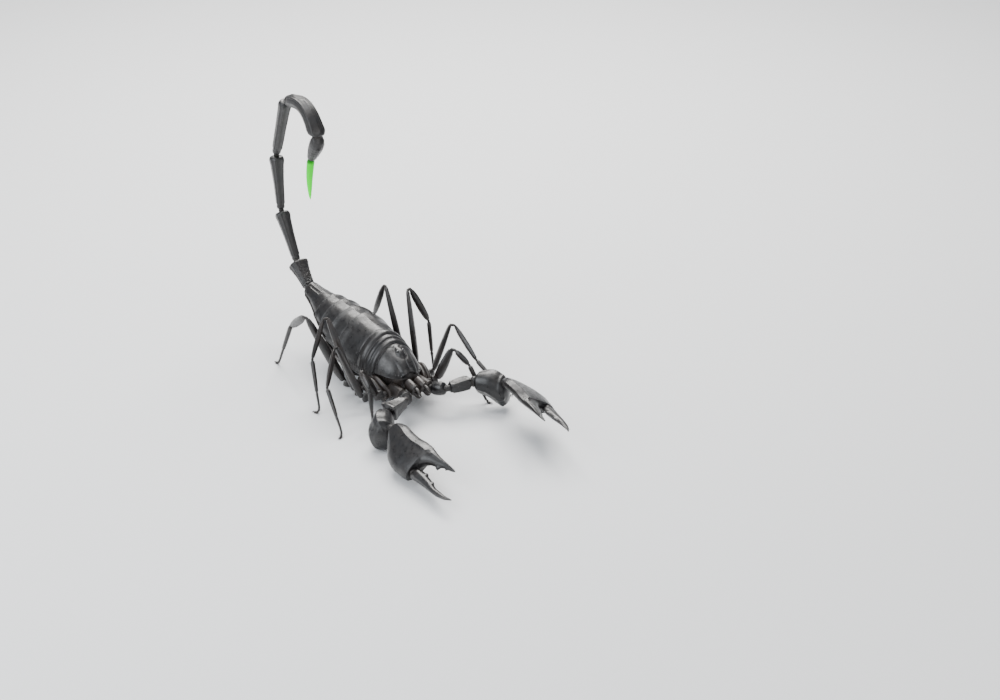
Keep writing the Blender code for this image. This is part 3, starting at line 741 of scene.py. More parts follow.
def carapace_warp(share, grid):
    """A notch in the middle of the front edge, and round front corners."""
    x = grid[..., 0]
    moved = grid.copy()
    moved[..., 1] += (1 - share) ** 3 * (0.4 * hump(x, 0, 1.0) + 1.2 * np.clip(np.abs(x) / 3.2, 0, 1) ** 5)
    return moved


def build_carapace():
    shape = plate(*CARAPACE, 170, 210, True, 0, ((0, 1.0), (0.9, 1.0), (1, 1.012)), 0.55, carapace_relief,
                  carapace_warp)
    make_piece("carapace_shell", shape, BLACK_SHELL, "carapace")
    small = []
    for side, sign in SIDES.items():
        centre = trunk_point(EYE_PLACE, 90, True) + np.array((sign * EYE_APART, 0, GAP / 2 + 0.25))
        make_piece(f"eye_{side}", ball(centre, [EYE_RADIUS] * 3, 36, 24), EYE, f"eye_median_{side}")
        for place, angle, size in SIDE_EYES:
            spot = trunk_point(place, angle, True) * (sign, 1, 1) + (0, 0, 0.12)
            small.append(ball(spot, [size] * 3, 20, 14))
    make_piece("eyes_lateral", join(small), EYE)


def tergite_relief(number):
    def relief(share, grid, edge):
        side = np.abs(grid[..., 0])
        length = TERGITE_EDGES[number] - TERGITE_EDGES[number - 1]
        height = lip(edge) + 0.02 * wobble(grid, 1.6 if number < 3 else 1.9, 20 + number)
        if number < 3:
            # The first two are short rolls with deep grooves between them.
            return height + 0.7 * np.sin(np.pi * share) ** 0.8 - 0.42
        height -= 0.1 * hump(share * length, 0.9, 0.22)
        rear_band = np.clip(1 - (1 - share) / 0.3, 0, 1) * (edge > 0.4)
        height += 0.025 * rear_band * grains(grid, 0.42, 10 + number)
        height += 0.08 * hump(side, 0, 0.35) * between(share, 0.3, 0.97, 0.2)
        height -= 0.06 * hump(side, 1.5, 0.9) * between(share, 0.2, 0.97, 0.2)
        if number == 7:
            for centre in (1.1, 2.6):
                crest = hump(side, centre * (1 - 0.35 * share), 0.2) * (0.1 + 0.03 * beads(share, 17))
                height += crest * between(share, 0.35, 0.97, 0.15)
        return height
    return relief


def build_tergites():
    for number, (front, rear) in enumerate(zip(TERGITE_EDGES, TERGITE_EDGES[1:]), start=1):
        length = rear - front
        flare = ((0, 0.94), (0.5 / (length + 0.5), 0.95), (0.4, 0.985), (0.7, 1.01), (0.94, 1.06), (1, 1.065))
        if number < 3:
            flare = ((0, 0.97), (1, 1.0))
        shape = plate(front - 0.5, rear - 0.1, int(24 + length * 5), 170, True, 1, flare, 0.4,
                      tergite_relief(number))
        make_piece(f"tergite_{number}_plate", shape, BLACK_SHELL, f"tergite_{number}")


def sternite_relief(number):
    def relief(share, grid, edge):
        side = np.abs(grid[..., 0])
        height = lip(edge, 0.08, 0.3) + 0.03 * wobble(grid, 1.5, 40 + number)
        height -= 0.12 * hump(side, 2.4, 0.3) * between(share, 0.15, 0.8, 0.2)
        if number == 5:
            crest = hump(side, 1.3, 0.2) * (0.5 + beads(share, 15))
            height += 0.14 * crest * between(share, 0.3, 0.95, 0.15)
        return height
    return relief


def build_belly():
    plates, covers, slits = [], [], []
    for number, (front, rear) in enumerate(zip(STERNITE_EDGES, STERNITE_EDGES[1:]), start=1):
        flare = ((0, 0.955), (0.4 / (rear - front + 0.4), 0.965), (0.6, 0.985), (1, 0.995))
        plates.append(plate(front - 0.4, rear - 0.1, 44, 120, False, 9, flare, 0.35,
                            sternite_relief(number)))
        if number == 5:
            continue
        for sign in SIDES.values():
            spot, inside = (trunk_point(mix(front, rear, 0.55), 62, False, scale) * (sign, 1, 1)
                            for scale in (0.985, 0.9))
            out = unit(spot - inside)
            slant = unit(np.array((sign * 0.9, 0.5, 0)))
            slant = unit(slant - out * (slant @ out))
            slits.append(limb(spot - slant * 0.8, spot + slant * 0.8, 0.16, 0.3,
                              ((0, 0.5), (0.5, 1), (1, 0.5)), np.cross(out, slant), 20, 16, cap=0.4).shape)
    for sign in SIDES.values():
        # The two flaps of the genital cover, and the bar that carries the combs.
        covers.append(ball((sign * 1.0, 10.4, 3.55), (1.15, 0.85, 0.42), 32, 20))
        covers.append(ball((sign * 1.2, 11.9, 3.35), (1.3, 0.6, 0.5), 32, 20))
    make_piece("belly_plates", join(plates + covers), UNDER_SHELL, "sternites")
    make_piece("breathing_slits", join(slits), SOFT_SKIN)


def build_trunk_skin():
    """The soft folded skin that shows between the plates."""
    grid, flank, size = trunk_tube(SKIN_ENDS[1], 260, 120, 2.0, 1.0, lambda flank, half, rise, drop: (
        flank, half * 0.98 - 0.75, rise * 0.98 - 0.75, drop * 0.96 - 0.3), BACK_POWER)
    above = grid[..., 2] - flank
    folds = 0.16 * np.cos(grid[..., 1] * 2 * np.pi / 1.15 + 2.2 * wobble(grid, 2.0, 8))
    folds = folds + 0.08 * np.cos(above * 2 * np.pi / 0.7)
    grid, _ = raise_grid(grid, folds * hump(above, 0, 1.3) * np.minimum(1, size / 0.5))
    make_piece("trunk_skin", closed_tube(grid), SOFT_SKIN)


def coxa_start(sign, number):
    return np.array((sign * 2.6, -5.4 + 1.8 * number, 5.6))


def coxa_relief(share, angle, grid):
    keels = ridges(angle, ((200, 0.12, 0.3), (-20, 0.12, 0.3)))
    return keels * between(share, 0.1, 0.9, 0.1) + 0.02 * grains(grid, 0.45, 31) - 0.05


def build_underside():
    shapes = []
    outline = ((0, 0.8), (0.4, 1.0), (0.85, 1.02), (1, 0.9))
    for sign in SIDES.values():
        aside = np.array((sign, 1, 1))
        for number, end in COXA_ENDS.items():
            made = limb(coxa_start(sign, number), end * aside, COXA_RADIUS * 1.02, COXA_RADIUS, outline, UP,
                        60, 36, relief=coxa_relief, power=2.3, cap=0.6)
            shapes.append(made.shape)
            BODY_COAT.sow(made, 26, 0.9, 300 + number + 10 * sign)
        for lobe in (((7.4, 0.8, 9.2), (8.2, -2.6, 9.3), (7.8, -6.2, 7.9), (6.6, -9.6, 5.4)),
                     ((8.8, 0.8, 8.8), (9.9, -2.4, 9.0), (9.6, -6.0, 7.2), (8.6, -9.2, 4.6))):
            stations = zip(lobe * aside, (0.5, 0.95, 1.0, 0.7), (0.8, 1.5, 1.7, 1.2))
            shapes.append(chain(stations, UP, 70, 40, cap=0.5).shape)
        made = limb((sign * 5.2, -6.5, 7.1), (sign * 5.3, -14.4, 7.2), 1.85, 2.45,
                    ((0, 0.9), (0.5, 1.0), (0.9, 1.0), (1, 0.8)), UP, 70, 44, relief=coxa_relief, cap=0.9)
        shapes.append(made.shape)
        BODY_COAT.sow(made, 50, 1.0, 330 + sign)
        # The plates that close the mouth from below.
        shapes.append(ball((sign * 1.25, -10.9, 5.1), (0.95, 1.9, 0.6), 32, 20))
        shapes.append(ball((sign * 3.1, -10.2, 5.1), (0.95, 1.6, 0.6), 32, 20))
    shapes.append(closed_tube(trunk_tube(BREAST_REAR, 120, 90, 1.5, 0.85, lambda flank, half, rise, drop: (
        flank - 0.3, half, np.minimum(2.0, rise * 0.4), drop), BELLY_POWER)[0]))
    shapes.append(limb((0, -4.4, 4.3), (0, 7.6, 3.7), 1.7, 0.9, ((0, 0.35), (0.2, 0.7), (0.7, 1.0), (1, 0.8)),
                       UP, 60, 36, cap=0.8,
                       relief=lambda share, angle, grid: -0.2 * hump(grid[..., 0], 0, 0.25)).shape)
    make_piece("coxae_and_breast_plate", join(shapes), UNDER_SHELL, "prosoma_underside")


def build_chelicerae():
    def hand(share, angle, grid):
        bumps = grains(grid, 0.4, 51) * ridge(angle, 90, 0.9) * between(share, 0.5, 0.95, 0.2)
        return 0.06 * bumps + 0.02 * wobble(grid, 0.8, 52) + 0.09 * hump(share, 0.9, 0.04)

    for side, sign in SIDES.items():
        front = np.array((sign * 1.75, -16.6, 9.0))
        made = limb((sign * 1.75, -11.2, 10.0), front, 1.45, 1.9,
                    ((0, 0.85), (0.12, 1.0), (0.6, 1.02), (0.92, 0.88), (1, 0.7)), UP, 80, 52, relief=hand,
                    cap=0.9)
        shapes = [made.shape]
        BODY_COAT.sow(made, 110, 0.9, 340 + sign, lean=0.6, part=(0.55, 1.0))
        for offset, reach, teeth in ((0.75, 3.2, 5), (-0.75, 2.7, 6)):
            def finger(share, angle, grid):
                edge = ridge(angle, -90 if offset > 0 else 90, 0.4)
                return 0.3 * edge * beads(share, teeth, 2) * between(share, 0.15, 0.9, 0.1)

            shapes.append(limb(front + (0, 0.9, offset), front + (sign * 0.1, -reach, offset * 0.25 - 0.9),
                               0.7, 0.62, ((0, 1.0), (0.5, 0.82), (0.85, 0.5), (1, 0.22)), UP, 70, 32,
                               bow=(0, 0, offset * 0.8), relief=finger, cap=0.35).shape)
        make_piece(f"chelicera_{side}_jaw", join(shapes), UNDER_SHELL, f"chelicera_{side}")


def build_pectines():
    """The combs, each a blade in two strips with a row of teeth and small knobs at their roots."""
    blade = ((0, 1.0), (0.5, 0.85), (1, 0.4))
    swing, tilt = (math.radians(turn) for turn in COMB_TURNS)
    turn = np.array(Matrix.Rotation(swing, 3, "Z") @ Matrix.Rotation(tilt, 3, "Y"))
    shapes = [
        limb((0, -0.45, 0), (7.0, -0.1, 0), 0.42, 0.3, blade, UP, 60, 24, cap=0.4).shape,
        limb((0.1, 0.2, 0), (6.8, 0.25, 0), 0.34, 0.26, blade, UP, 60, 24,
             relief=lambda share, angle, grid: -0.06 * beads(share, 9, 6), cap=0.4).shape,
    ]
    for index in range(COMB_TEETH):
        share = (index + 0.5) / COMB_TEETH
        x = 0.2 + 6.6 * share
        size = 0.2 + 0.03 * math.sin(share * math.pi)
        shapes.append(limb((x, 0.4, 0.0), (x + 0.12, 1.45 - 0.25 * share, -0.08), size, size * 0.9,
                           ((0, 0.7), (0.6, 1.0), (1, 0.75)), UP, 18, 14, cap=0.22).shape)
        shapes.append(ball((x - 0.18, 0.5, 0.02), (0.11, 0.14, 0.14), 12, 8))
    points, quads, triangles = join(shapes)
    for side, sign in SIDES.items():
        placed = (points @ turn.T + COMB_ROOT) * (sign, 1, 1)
        make_piece(f"pecten_{side}_comb", oriented((placed, quads, triangles)), UNDER_SHELL, f"pecten_{side}")


# ---------------------------------------------------------------- tail


def tail_direction(pitch):
    return np.array((0.0, math.cos(math.radians(pitch)), math.sin(math.radians(pitch))))


def keeled(keels, teeth, seed, rough):
    """Relief of a tail ring: crisp keels with slightly hollow faces between them."""
    def relief(share, angle, grid):
        run = between(share, 0.06, 0.97, 0.07)
        height = -0.08 * run
        for centre, tall in keels:
            spiny = 0.85 + 0.12 * beads(share + centre * 0.013, teeth, 1.3) + 0.5 * hump(share, 0.93, 0.05)
            height = height + tall * run * keel(angle, centre, 0.13, spiny, 0.35, 0.4)
        # The thin neck at the near end and the collar at the far end.
        height = height - 0.1 * hump(share, 0.085, 0.02) + 0.08 * hump(share, 0.965, 0.018)
        return height + rough * grains(grid, 0.4, seed) * run + 0.015 * wobble(grid, 0.9, seed)
    return relief


def build_tail():
    joints = [np.array(TAIL_BASE)]
    for length, pitch, _ in TAIL_SEGMENTS + (VESICLE, STING):
        joints.append(joints[-1] + tail_direction(pitch) * length)
    entry = tail_direction(TAIL_ENTRY)
    before = joints[0] - entry * 10
    skins = [bridge(joints[0] - entry * 2.2, joints[0] + tail_direction(TAIL_SEGMENTS[0][1]) * 0.8, 1.75)]
    for index, (_, _, radius) in enumerate(TAIL_SEGMENTS):
        first, last = index == 0, index == len(TAIL_SEGMENTS) - 1
        start, end, after = joints[index:index + 3]
        along = unit(end - start)
        into = setback(radius * 0.5, before, start, end)
        out = END_RING_STOP if last else setback(radius * 0.5, start, end, after)
        dorsal = np.cross(X_AXIS, along)
        keels = FIRST_RING_KEELS if first else END_RING_KEELS if last else RING_KEELS
        made = limb(start + along * into, end - along * out, radius, radius * 0.95,
                    TAIL_OUTLINE if index < 3 else TAIL_END_OUTLINE, dorsal, 170, 96,
                    bow=-dorsal * TAIL_BOWS[index], power=2.3, cap=0.45,
                    slant=(0, END_RING_SLANT if last else 0),
                    relief=keeled(keels, 13 + 3 * index, 60 + index, 0.13 if first else 0.02))
        name = f"metasoma_{index + 1}"
        make_piece(name + "_ring", made.shape, ROUGH_SHELL, name)
        TAIL_COAT.sow(made, 34, 1.0, 400 + index, lean=0.5)
        skins.append(bridge(end - along * (out + 0.2), end + unit(after - end) * (0.9 + into) * 0.8,
                            radius * (0.6 if last else 0.42)))
        before = start
    build_telson(*joints[-3:])
    make_piece("tail_joint_skin", join(skins), SOFT_SKIN)


def build_telson(start, end, tip):
    """The knobby bulb and the smooth sting."""
    along = unit(end - start)

    def bulb(share, angle, grid):
        knobs = ridges(angle, [(centre, 0.11, 0.14) for centre in (-90, -62, -118, -34, 214)])
        height = knobs * (0.5 + 0.5 * beads(share, 9, 1.5)) * between(share, 0.12, 0.8, 0.12)
        height += 0.03 * grains(grid, 0.5, 71) * between(share, 0.1, 0.9, 0.1)
        height += 0.25 * ridge(angle, -90, 0.9) * hump(share, 0.3, 0.2)
        height -= 0.2 * ridge(angle, 90, 0.8) * hump(share, 0.55, 0.3)
        return height - ridges(angle, ((0, 0.1, 0.12), (180, 0.1, 0.12)))

    made = limb(start - along * 0.3, end - along * 0.1, VESICLE[2], VESICLE[2], VESICLE_OUTLINE,
                np.cross(X_AXIS, along), 120, 80, relief=bulb, cap=1.2, slant=(BULB_SLANT, 0))
    make_piece("telson_bulb", made.shape, ROUGH_SHELL, "telson_vesicle")
    TAIL_COAT.sow(made, 80, 1.0, 420, lean=0.5)

    def smooth_spine(share, angle, grid):
        return 0.05 * hump(share, 0.07, 0.03) - ridges(angle, ((0, 0.04, 0.2), (180, 0.04, 0.2)))

    spine = limb(end - along * 0.3, tip, STING[2], STING[2], STING_OUTLINE,
                 -np.cross(X_AXIS, unit(tip - end)), 120, 48, bow=(0, 0.7, 0), relief=smooth_spine, cap=0.3)
    make_piece("telson_sting_spine", spine.shape, sting_material(tip[2] * MM, end[2] * MM), "telson_sting")


# ---------------------------------------------------------------- legs


def leg_joints(side, number):
    """Coxa end, trochanter end, knee, patella end and ankle of one leg."""
    femur, patella, tibia = LEG_LENGTHS[number]
    femur_pose, patella_pose, tibia_heading = LEG_POSES[side, number]
    coxa = np.array(COXA_ENDS[number]) * (SIDES[side], 1, 1)
    hip = np.array(TROCHANTER_ENDS[side, number])
    knee = hip + polar(*femur_pose) * femur
    bend = knee + polar(*patella_pose) * patella
    drop = math.degrees(math.asin((bend[2] - ANKLE_HEIGHT) / tibia))
    return coxa, hip, knee, bend, bend + polar(tibia_heading, -drop) * tibia


def beside_knee(hip, knee, bend, radius):
    femur, patella = unit(knee - hip), unit(bend - knee)
    across = float(patella @ femur)
    return knee + unit(patella - femur * across) * (radius * (0.95 - 0.3 * across) + GAP)


def leg_relief(seed, keel=0.1):
    """Sharp edges above and below, a low keel on each side, and a few grains."""
    def relief(share, angle, grid):
        run = between(share, 0.06, 0.95, 0.06)
        keels = ridges(angle, ((90, keel, 0.24), (-90, keel, 0.24), (20, keel / 2, 0.16),
                               (160, keel / 2, 0.16)))
        height = run * keels * (0.85 + 0.2 * beads(share, 19))
        height = height - 0.06 * hump(share, 0.045, 0.012) + 0.05 * hump(share, 0.955, 0.014)
        return height + 0.012 * run * grains(grid, 0.3, seed)
    return relief


def thorn(root, tip, sizes, up, rows, columns, cap, bend=(0, 0, 0), floor=None):
    """A claw, spine or spur that tapers through three pairs of sizes."""
    points = (root, (root + tip) / 2 + bend, tip)
    stations = [(point, *size) for point, size in zip(points, sizes)]
    return chain(stations, up, rows, columns, cap=cap, floor=floor).shape


def at_height(point, height):
    return np.array((point[0], point[1], height))


def build_foot(knee, ankle, outward, radius, node):
    """Tibia, long and short tarsus, a fringe of spines and two claws, down to the floor."""
    along = unit(ankle - knee)
    size = (radius, radius)
    split = mix(knee, ankle, 0.63)
    upper = chain(((knee, 0.7, 0.7), (mix(knee, ankle, 0.06), 1, 1), (mix(knee, ankle, 0.3), 0.95, 1.0),
                   (split - along * 0.4, 0.74, 0.8), (split, 0.6, 0.62)), UP, 80, 28, size,
                  relief=leg_relief(81, 0.06))
    heel, sole, toe = (at_height(ankle + outward * FOOT_LENGTH * share, height)
                       for share, height in ((0.1, 0.86), (0.33, 0.42), (0.78, 0.34)))
    lower = chain(((split - along * 0.6, 0.45, 0.47), (split + along * 1.0, 0.56, 0.6),
                   (mix(knee, ankle, 0.95), 0.5, 0.52), (heel, 0.4 / radius, 0.42 / radius)), UP, 70, 24,
                  size, relief=leg_relief(82, 0.03))
    foot = chain(((heel - outward * 0.1 + UP * 0.08, 0.3, 0.3), (heel + outward * 0.3, 0.36, 0.38),
                  (sole, 0.38, 0.4), (toe, 0.3, 0.31)), UP, 50, 24, floor=0.0, cap=0.3)
    make_piece(node + "_shell", join((upper.shape, lower.shape, foot.shape)), LEG_SHELL, node)
    aside = unit(np.cross(outward, UP))
    length = FOOT_LENGTH * 0.27
    claws = []
    for side in (aside, -aside):
        root = toe - outward * 0.05
        tip = at_height(root + outward * length + side * length * 0.42, 0.07)
        bend = side * length * 0.01 + UP * (CLAW_RISE + (root[2] - tip[2]) / 2)
        claws.append(thorn(root, tip, CLAW_SIZES, UP, 22, 12, 0.1, bend, 0.0))
    for index in range(7):
        # Paired spines under the foot.
        for side in (aside, -aside):
            spot = mix(heel, toe, 0.15 + 0.11 * index) + side * 0.26
            spot[2] = max(spot[2] - 0.16, 0.22)
            point = at_height(spot + side * 0.22 + outward * 0.18, 0.05)
            claws.append(thorn(spot, point, SPINE_SIZES, outward, 10, 8, 0.03))
    for side in (aside, -aside):
        # A spur on each side, where the foot's two upper parts meet.
        root = split + side * radius * 0.4 - UP * 0.1
        point = root + along * 0.9 + side * 0.35
        claws.append(thorn(root, point, SPUR_SIZES, UP, 16, 10, 0.1))
    return upper, lower, foot, claws


def build_leg(side, number, horn, skins):
    coxa, hip, knee, bend, ankle = leg_joints(side, number)
    sign = SIDES[side]
    radius = FEMUR_RADII[number]
    name = f"leg_{side}_{number}_"
    wide, deep = (radius * share for share in LEG_FLATNESS)
    stop_short = setback(radius * 1.45, coxa_start(sign, number), coxa, hip) + GAP * 0.4
    start = coxa + unit(hip - coxa) * stop_short
    end = knee - unit(knee - hip) * GAP
    trochanter = chain(((start, 0.95, 0.9), (mix(start, hip, 0.3), 1.25, 1.15),
                        (mix(start, hip, 0.75), 1.28, 1.2), (mix(hip, end, 0.02), 0.95, 0.9)), UP, 50, 32,
                       (wide, deep), cap=0.6, relief=leg_relief(83, 0.07))
    femur = chain([(mix(hip, end, share * 0.97 + 0.03), size, size) for share, size in FEMUR_OUTLINE], UP,
                  100, 32, (wide, deep), power=1.6, relief=leg_relief(84 + number))
    make_piece(name + "femur_shell", join((trochanter.shape, femur.shape)), LEG_SHELL, name + "femur")
    begin = beside_knee(hip, knee, bend, radius)
    stop = bend - unit(bend - begin) * setback(radius * 0.5, knee, bend, ankle)
    slim = PATELLA_SLIMNESS[number]
    patella = limb(begin, stop, wide * slim, deep * slim, PATELLA_OUTLINE, UP, 80, 32, power=1.6,
                   relief=leg_relief(90 + number), cap=0.4)
    make_piece(name + "patella_shell", patella.shape, LEG_SHELL, name + "patella")
    shin = bend + unit(ankle - bend) * setback(radius * 0.48, knee, bend, ankle)
    heading = FOOT_HEADINGS[number] if sign > 0 else 180 - FOOT_HEADINGS[number]
    upper, lower, foot, claws = build_foot(shin, ankle, polar(heading, 0), radius * SHIN_SLIMNESS,
                                           name + "tibia")
    horn += claws
    skins += [bridge(coxa, start, radius * 0.85), bridge(end, begin, radius * 0.46),
              bridge(stop, shin, radius * 0.44)]
    seed = 500 + 20 * number + (7 if sign > 0 else 0)
    for index, (surface, count, length, lean, thickness) in enumerate((
            (femur, 30, 0.8, 0.9, 0.03), (patella, 30, 0.8, 0.9, 0.03), (upper, 45, 0.9, 0.9, 0.03),
            (lower, 50, 0.8, 0.7, 0.03), (foot, 30, 0.6, 0.7, 0.02))):
        LEG_COAT.sow(surface, count, length, seed + index, lean, thickness)


def build_legs():
    horn, skins = [], []
    for side in SIDES:
        for number in COXA_ENDS:
            build_leg(side, number, horn, skins)
    make_piece("foot_claws", join(horn), HORN)
    make_piece("leg_joint_skin", join(skins), SOFT_SKIN)


# ---------------------------------------------------------------- pedipalps


def palp_relief(seed, keels, teeth, hollows=()):
    """Crisp finely toothed keels (angle, height), and hollow faces (angle, depth, width)."""
    def relief(share, angle, grid):
        run = between(share, 0.06, 0.96, 0.08)
        height = 0.012 * wobble(grid, 1.8, seed) + 0.009 * run * grains(grid, 0.6, seed)
        for centre, tall in keels:
            height += tall * run * keel(angle, centre, 0.12, 0.9 + 0.12 * beads(share, teeth), 0.5, 0.34)
        return height - between(share, 0.1, 0.95, 0.2) * ridges(angle, hollows)
    return relief


def build_arm(side, sign, skins, knobs):
    """The arm's second, third and fourth segments, and the claw."""
    coxa, trochanter, femur, patella, finger_root = (np.array(place) for place in PEDIPALP[side].values())
    name = f"pedipalp_{side}_"
    seed = 700 + (50 if sign > 0 else 0)

    def segment(part, made, count, length, step, lean):
        make_piece(f"{name}{part}_shell", made.shape, BLACK_SHELL, name + part)
        PALP_COAT.sow(made, count, length, seed + step, lean)

    first, second, third = unit(trochanter - coxa), unit(femur - trochanter), unit(patella - femur)
    outline = ((0, 0.6), (0.08, 0.85), (0.25, 1.0), (0.55, 1.05), (0.85, 0.95), (0.95, 0.78), (1, 0.5))
    relief = palp_relief(seed, ((90, 0.12), (200, 0.14), (340, 0.14)), 6)
    segment("trochanter", limb(coxa + first * 0.7, trochanter - first * 0.8, 2.1, 2.2, outline, UP, 70, 48,
                               turn=sign, relief=relief, cap=0.8), 40, 0.9, 0, 0.9)

    # Four keels, which end in spikes on a flared rim.
    flare = ARM_FLARE[side]
    outline = ((0, 0.5), (0.06, 0.8), (0.3, 0.9), (0.7, 0.5 + flare / 2), (0.94, flare), (1, flare * 0.9))
    edges = palp_relief(seed + 1, ((48, 0.3), (132, 0.3), (225, 0.25), (315, 0.25)), 15,
                        ((90, 0.15, 0.4), (0, 0.2, 0.4), (180, 0.2, 0.4)))
    spikes = [(centre, ARM_SPIKES[side], 0.16) for centre in (48, 132)]

    def spiked(share, angle, grid):
        return edges(share, angle, grid) + ridges(angle, spikes) * hump(share, 0.96, 0.03)

    segment("femur", limb(trochanter + second * 0.7, femur - second * 0.9, 1.95, 2.0, outline, UP, 150, 96,
                          turn=sign, power=2.5, cap=0.3, relief=spiked), 60, 1.0, 1, 0.5)

    # A keel parts the round outer face from the hollow inner one.
    share = spread(150)
    out, down, wide, deep = smooth_line(ARM_ROWS, share).T
    start, end = femur + third * 0.5, patella - third * 0.7
    sag = np.outer(down * ARM_SAG[side], UP)
    path = start + np.outer(share, end - start) + np.outer(out, X_AXIS * sign) - sag
    shrink = rounded(np.ones(150), share, np.linalg.norm(end - start), 1.4)
    across = unit(np.cross(third, UP))
    relief = palp_relief(seed + 2, ((108, 0.3), (-14, 0.3), (-62, 0.12), (235, 0.12)), 17,
                         ((150, 0.7, 0.45), (-42, 0.12, 0.4), (195, 0.15, 0.5)))
    segment("patella", stack(path, across * sign, np.cross(across, third), wide * shrink, deep * shrink, 110,
                             share, relief=relief), 90, 1.1, 2, 0.5)
    knobs.append(ball(femur + third * 0.9, (1.5, 1.5, 1.9), 40, 28))
    skins += [bridge(coxa + (0, 0.6, 0), coxa + first * 0.9, 1.3),
              bridge(trochanter - first * 0.9, trochanter + second * 0.9, 1.1),
              bridge(femur - second * 1.4, femur + third * 0.7, 1.5)]
    build_claw(name, side, sign, patella, finger_root, seed + 3, skins)


def build_claw(name, side, sign, wrist, finger_root, seed, skins):
    """A swollen hand that ends in a fixed finger, and a movable finger below and outside it."""
    along = unit(finger_root - wrist)
    reach = np.linalg.norm(finger_root - wrist) / CLAW_HAND
    roll = math.radians(CLAW_ROLL[side])
    outward = X_AXIS * sign * math.cos(roll) - UP * math.sin(roll)
    dorsal = unit(np.cross(along, outward)) * sign
    outward = unit(outward - along * (outward @ along))
    thin = CLAW_THIN[side]
    root = wrist + dorsal * CLAW_LIFT * (1 - thin)

    def part(rows, at, power, columns, cap, relief):
        inner, outer, depth = (smooth_line(rows, at) * reach).T
        length = at[-1] - at[0]
        shrink = rounded(np.ones(len(at)), (at - at[0]) / length, length * reach, cap)
        path = root + np.outer(at * reach, along) + np.outer((inner + outer) / 2, outward)
        return stack(path, outward, dorsal, (outer - inner) / 2 * shrink, depth * thin * shrink, columns, at,
                     power, relief)

    def hand(at, angle, grid):
        on_hand = between(at, 1.5, 23.5, 2.0)
        on_finger = between(at, 23.5, 35.4, 1.2)
        height = 0.02 * wobble(grid, 2.6, seed - 3) + 0.012 * on_hand * grains(grid, 0.8, seed)
        for centre, tall in ((128, 0.22), (70, 0.05), (172, 0.12), (-8, 0.12), (-70, 0.12)):
            height += tall * on_hand * keel(angle, centre, 0.12, 0.92 + 0.08 * beads(at / 36, 40), 0.4, 0.35)
        height -= 0.25 * ridge(angle, 25, 0.5) * between(at, 15, 24, 3.0)
        bite = ridge(angle, 0, 0.22) * (0.06 + 0.16 * beads(at / 13, 24))
        height += on_finger * (bite + 0.22 * ridge(angle, 120, 0.2))
        # The two large teeth.
        height += 0.95 * ridge(angle, 0, 0.42) * hump(at, 28.6, 0.75)
        return height + 0.4 * ridge(angle, 0, 0.36) * hump(at, 32.0, 0.4)

    split = HAND_END + 1
    stretch = FIXED_FINGER_STRETCH[side]
    rows = [(min(row[0], split) + max(row[0] - split, 0) * stretch, *row[1:]) for row in CLAW_ROWS]
    at = np.unique(np.concatenate((mix(rows[0][0], rows[-1][0], spread(190, 0.35)),
                                   np.linspace(HAND_END - 1.2, HAND_END + 1.2, 36))))
    made = part(rows, at, 2.3, 132, 0.7, hand)
    make_piece(name + "hand_shell", made.shape, BLACK_SHELL, name + "manus")
    PALP_COAT.sow(made, 150, 0.9, seed, lean=0.5)

    def movable(at, angle, grid):
        run = between(at, 24.0, 42.0, 0.8)
        bite = ridge(angle, 180, 0.22) * (0.06 + 0.16 * beads(at / 19, 34))
        height = run * (bite + 0.16 * ridge(angle, 60, 0.2))
        height += ridge(angle, 180, 0.4) * (0.5 * hump(at, 27.0, 0.6) + 0.4 * hump(at, 31.5, 0.6))
        return height + 0.02 * run * grains(grid, 0.5, seed + 2)

    at = mix(FINGER_ROWS[0][0] - 0.5, FINGER_ROWS[-1][0], spread(150, 0.35))
    made = part(FINGER_ROWS, at, 2.1, 72, 0.6, movable)
    make_piece(name + "finger_shell", made.shape, BLACK_SHELL, name + "finger")
    PALP_COAT.sow(made, 80, 0.8, seed + 1, lean=0.5)
    middle = root + outward * 5.2 * reach
    skins.append(bridge(wrist - along * 0.7 - outward * 1.0, wrist + along * 1.3 - outward * 1.3, 1.25))
    skins.append(bridge(middle + along * (HAND_END - 0.8) * reach, middle + along * (HAND_END + 1.6) * reach,
                        1.35 * reach))


def build_pedipalps():
    skins, knobs = [], []
    for side, sign in SIDES.items():
        build_arm(side, sign, skins, knobs)
    make_piece("pedipalp_joint_skin", join(skins), SOFT_SKIN)
    make_piece("pedipalp_condyles", join(knobs), BLACK_SHELL)


# ---------------------------------------------------------------- stage, light and camera

# Lights: place, the point that each faces, size, power and colour.
LIGHTS = {
    "key": ((0.22, 0.30, 0.46), (0, 0, 0.02), (0.42, 0.34), 7.0, (1.0, 0.98, 0.95)),
    "top": ((-0.06, 0.08, 0.62), (0, 0, 0), (0.35, 0.35), 2.2, (1, 1, 1)),
    "side": ((-0.42, 0.02, 0.26), (0, 0, 0.03), (0.4, 0.35), 2.2, (0.92, 0.96, 1.0)),
    "front": ((-0.05, -0.5, 0.3), (0, -0.02, 0.02), (0.6, 0.3), 1.4, (1, 1, 1)),
}
WORLD_COLOUR = (0.9, 0.94, 1.0, 1)
WORLD_STRENGTH = 0.35
FLOOR_COLOUR = (0.72, 0.73, 0.74, 1)
VIEW_AZIMUTH = -35.395
VIEW_ELEVATION = 25.643
VIEW_DISTANCE = 765.798   # millimetres from the animal's origin, along the view
VIEW_OFFSET = (35.2341, 15.1932)   # how far the camera stands to the right of that line and above it
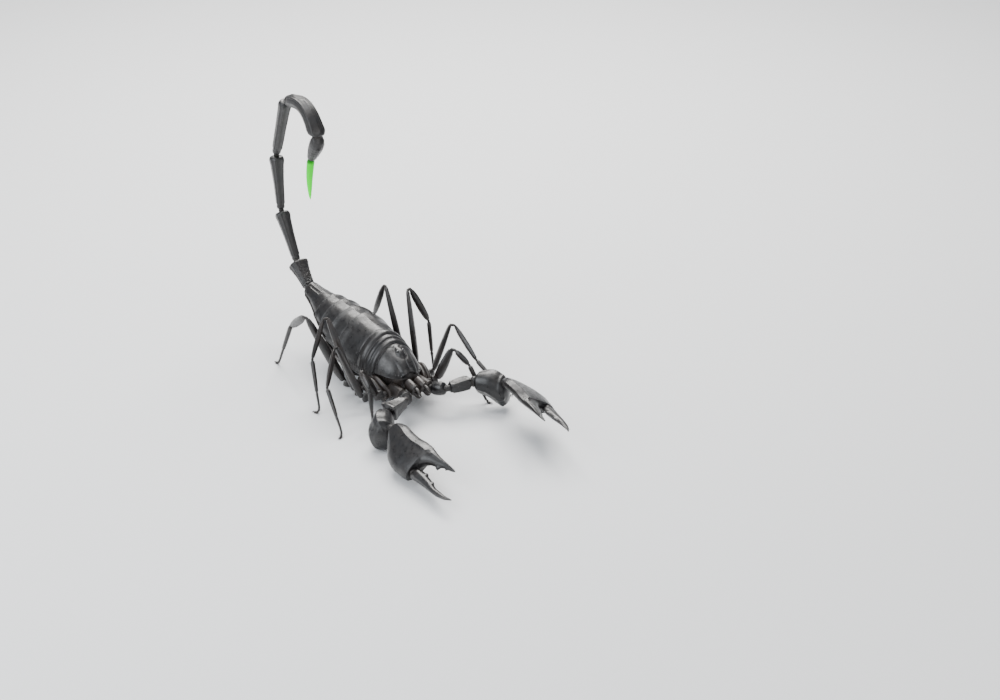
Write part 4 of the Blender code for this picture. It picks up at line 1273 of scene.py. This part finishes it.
LENS = 83.5416
SENSOR = 36


def build_stage():
    bpy.ops.mesh.primitive_grid_add(x_subdivisions=4, y_subdivisions=4, size=3.0)
    floor = bpy.context.object
    floor.name = "studio_floor"
    material, tree, shader = new_material("studio_floor")
    set_sockets(tree, shader, {"Base Color": FLOOR_COLOUR, "Roughness": 0.75})
    floor.data.materials.append(material)
    world = bpy.data.worlds.new("studio")
    world.use_nodes = True
    set_sockets(world.node_tree, world.node_tree.nodes["Background"],
                {"Color": WORLD_COLOUR, "Strength": WORLD_STRENGTH})
    bpy.context.scene.world = world
    for name, (place, target, size, power, colour) in LIGHTS.items():
        data = bpy.data.lights.new(name, "AREA")
        data.shape = "RECTANGLE"
        data.size, data.size_y = size
        data.energy = power
        data.color = colour
        light = bpy.data.objects.new(name, data)
        light.location = place
        light.rotation_euler = (Vector(target) - Vector(place)).to_track_quat("-Z", "Y").to_euler()
        bpy.context.scene.collection.objects.link(light)


def build_camera():
    azimuth, elevation = math.radians(VIEW_AZIMUTH), math.radians(VIEW_ELEVATION)
    right = Vector((math.cos(azimuth), math.sin(azimuth), 0))
    back = Vector((math.sin(azimuth) * math.cos(elevation), -math.cos(azimuth) * math.cos(elevation),
                   math.sin(elevation)))
    up = back.cross(right)
    place = (back * VIEW_DISTANCE + right * VIEW_OFFSET[0] + up * VIEW_OFFSET[1]) * MM + Vector(SHIFT)
    data = bpy.data.cameras.new("camera")
    data.sensor_width = SENSOR
    data.lens = LENS
    data.clip_start = 0.01
    data.clip_end = 20
    camera = bpy.data.objects.new("camera", data)
    camera.matrix_world = Matrix.Translation(place) @ Matrix((right, up, back)).transposed().to_4x4()
    bpy.context.scene.collection.objects.link(camera)
    bpy.context.scene.camera = camera


build_camera()
build_stage()
build_trunk_skin()
build_carapace()
build_tergites()
build_belly()
build_underside()
build_chelicerae()
build_pectines()
build_tail()
build_legs()
build_pedipalps()
for coat in (BODY_COAT, PALP_COAT, LEG_COAT, TAIL_COAT):
    coat.finish()
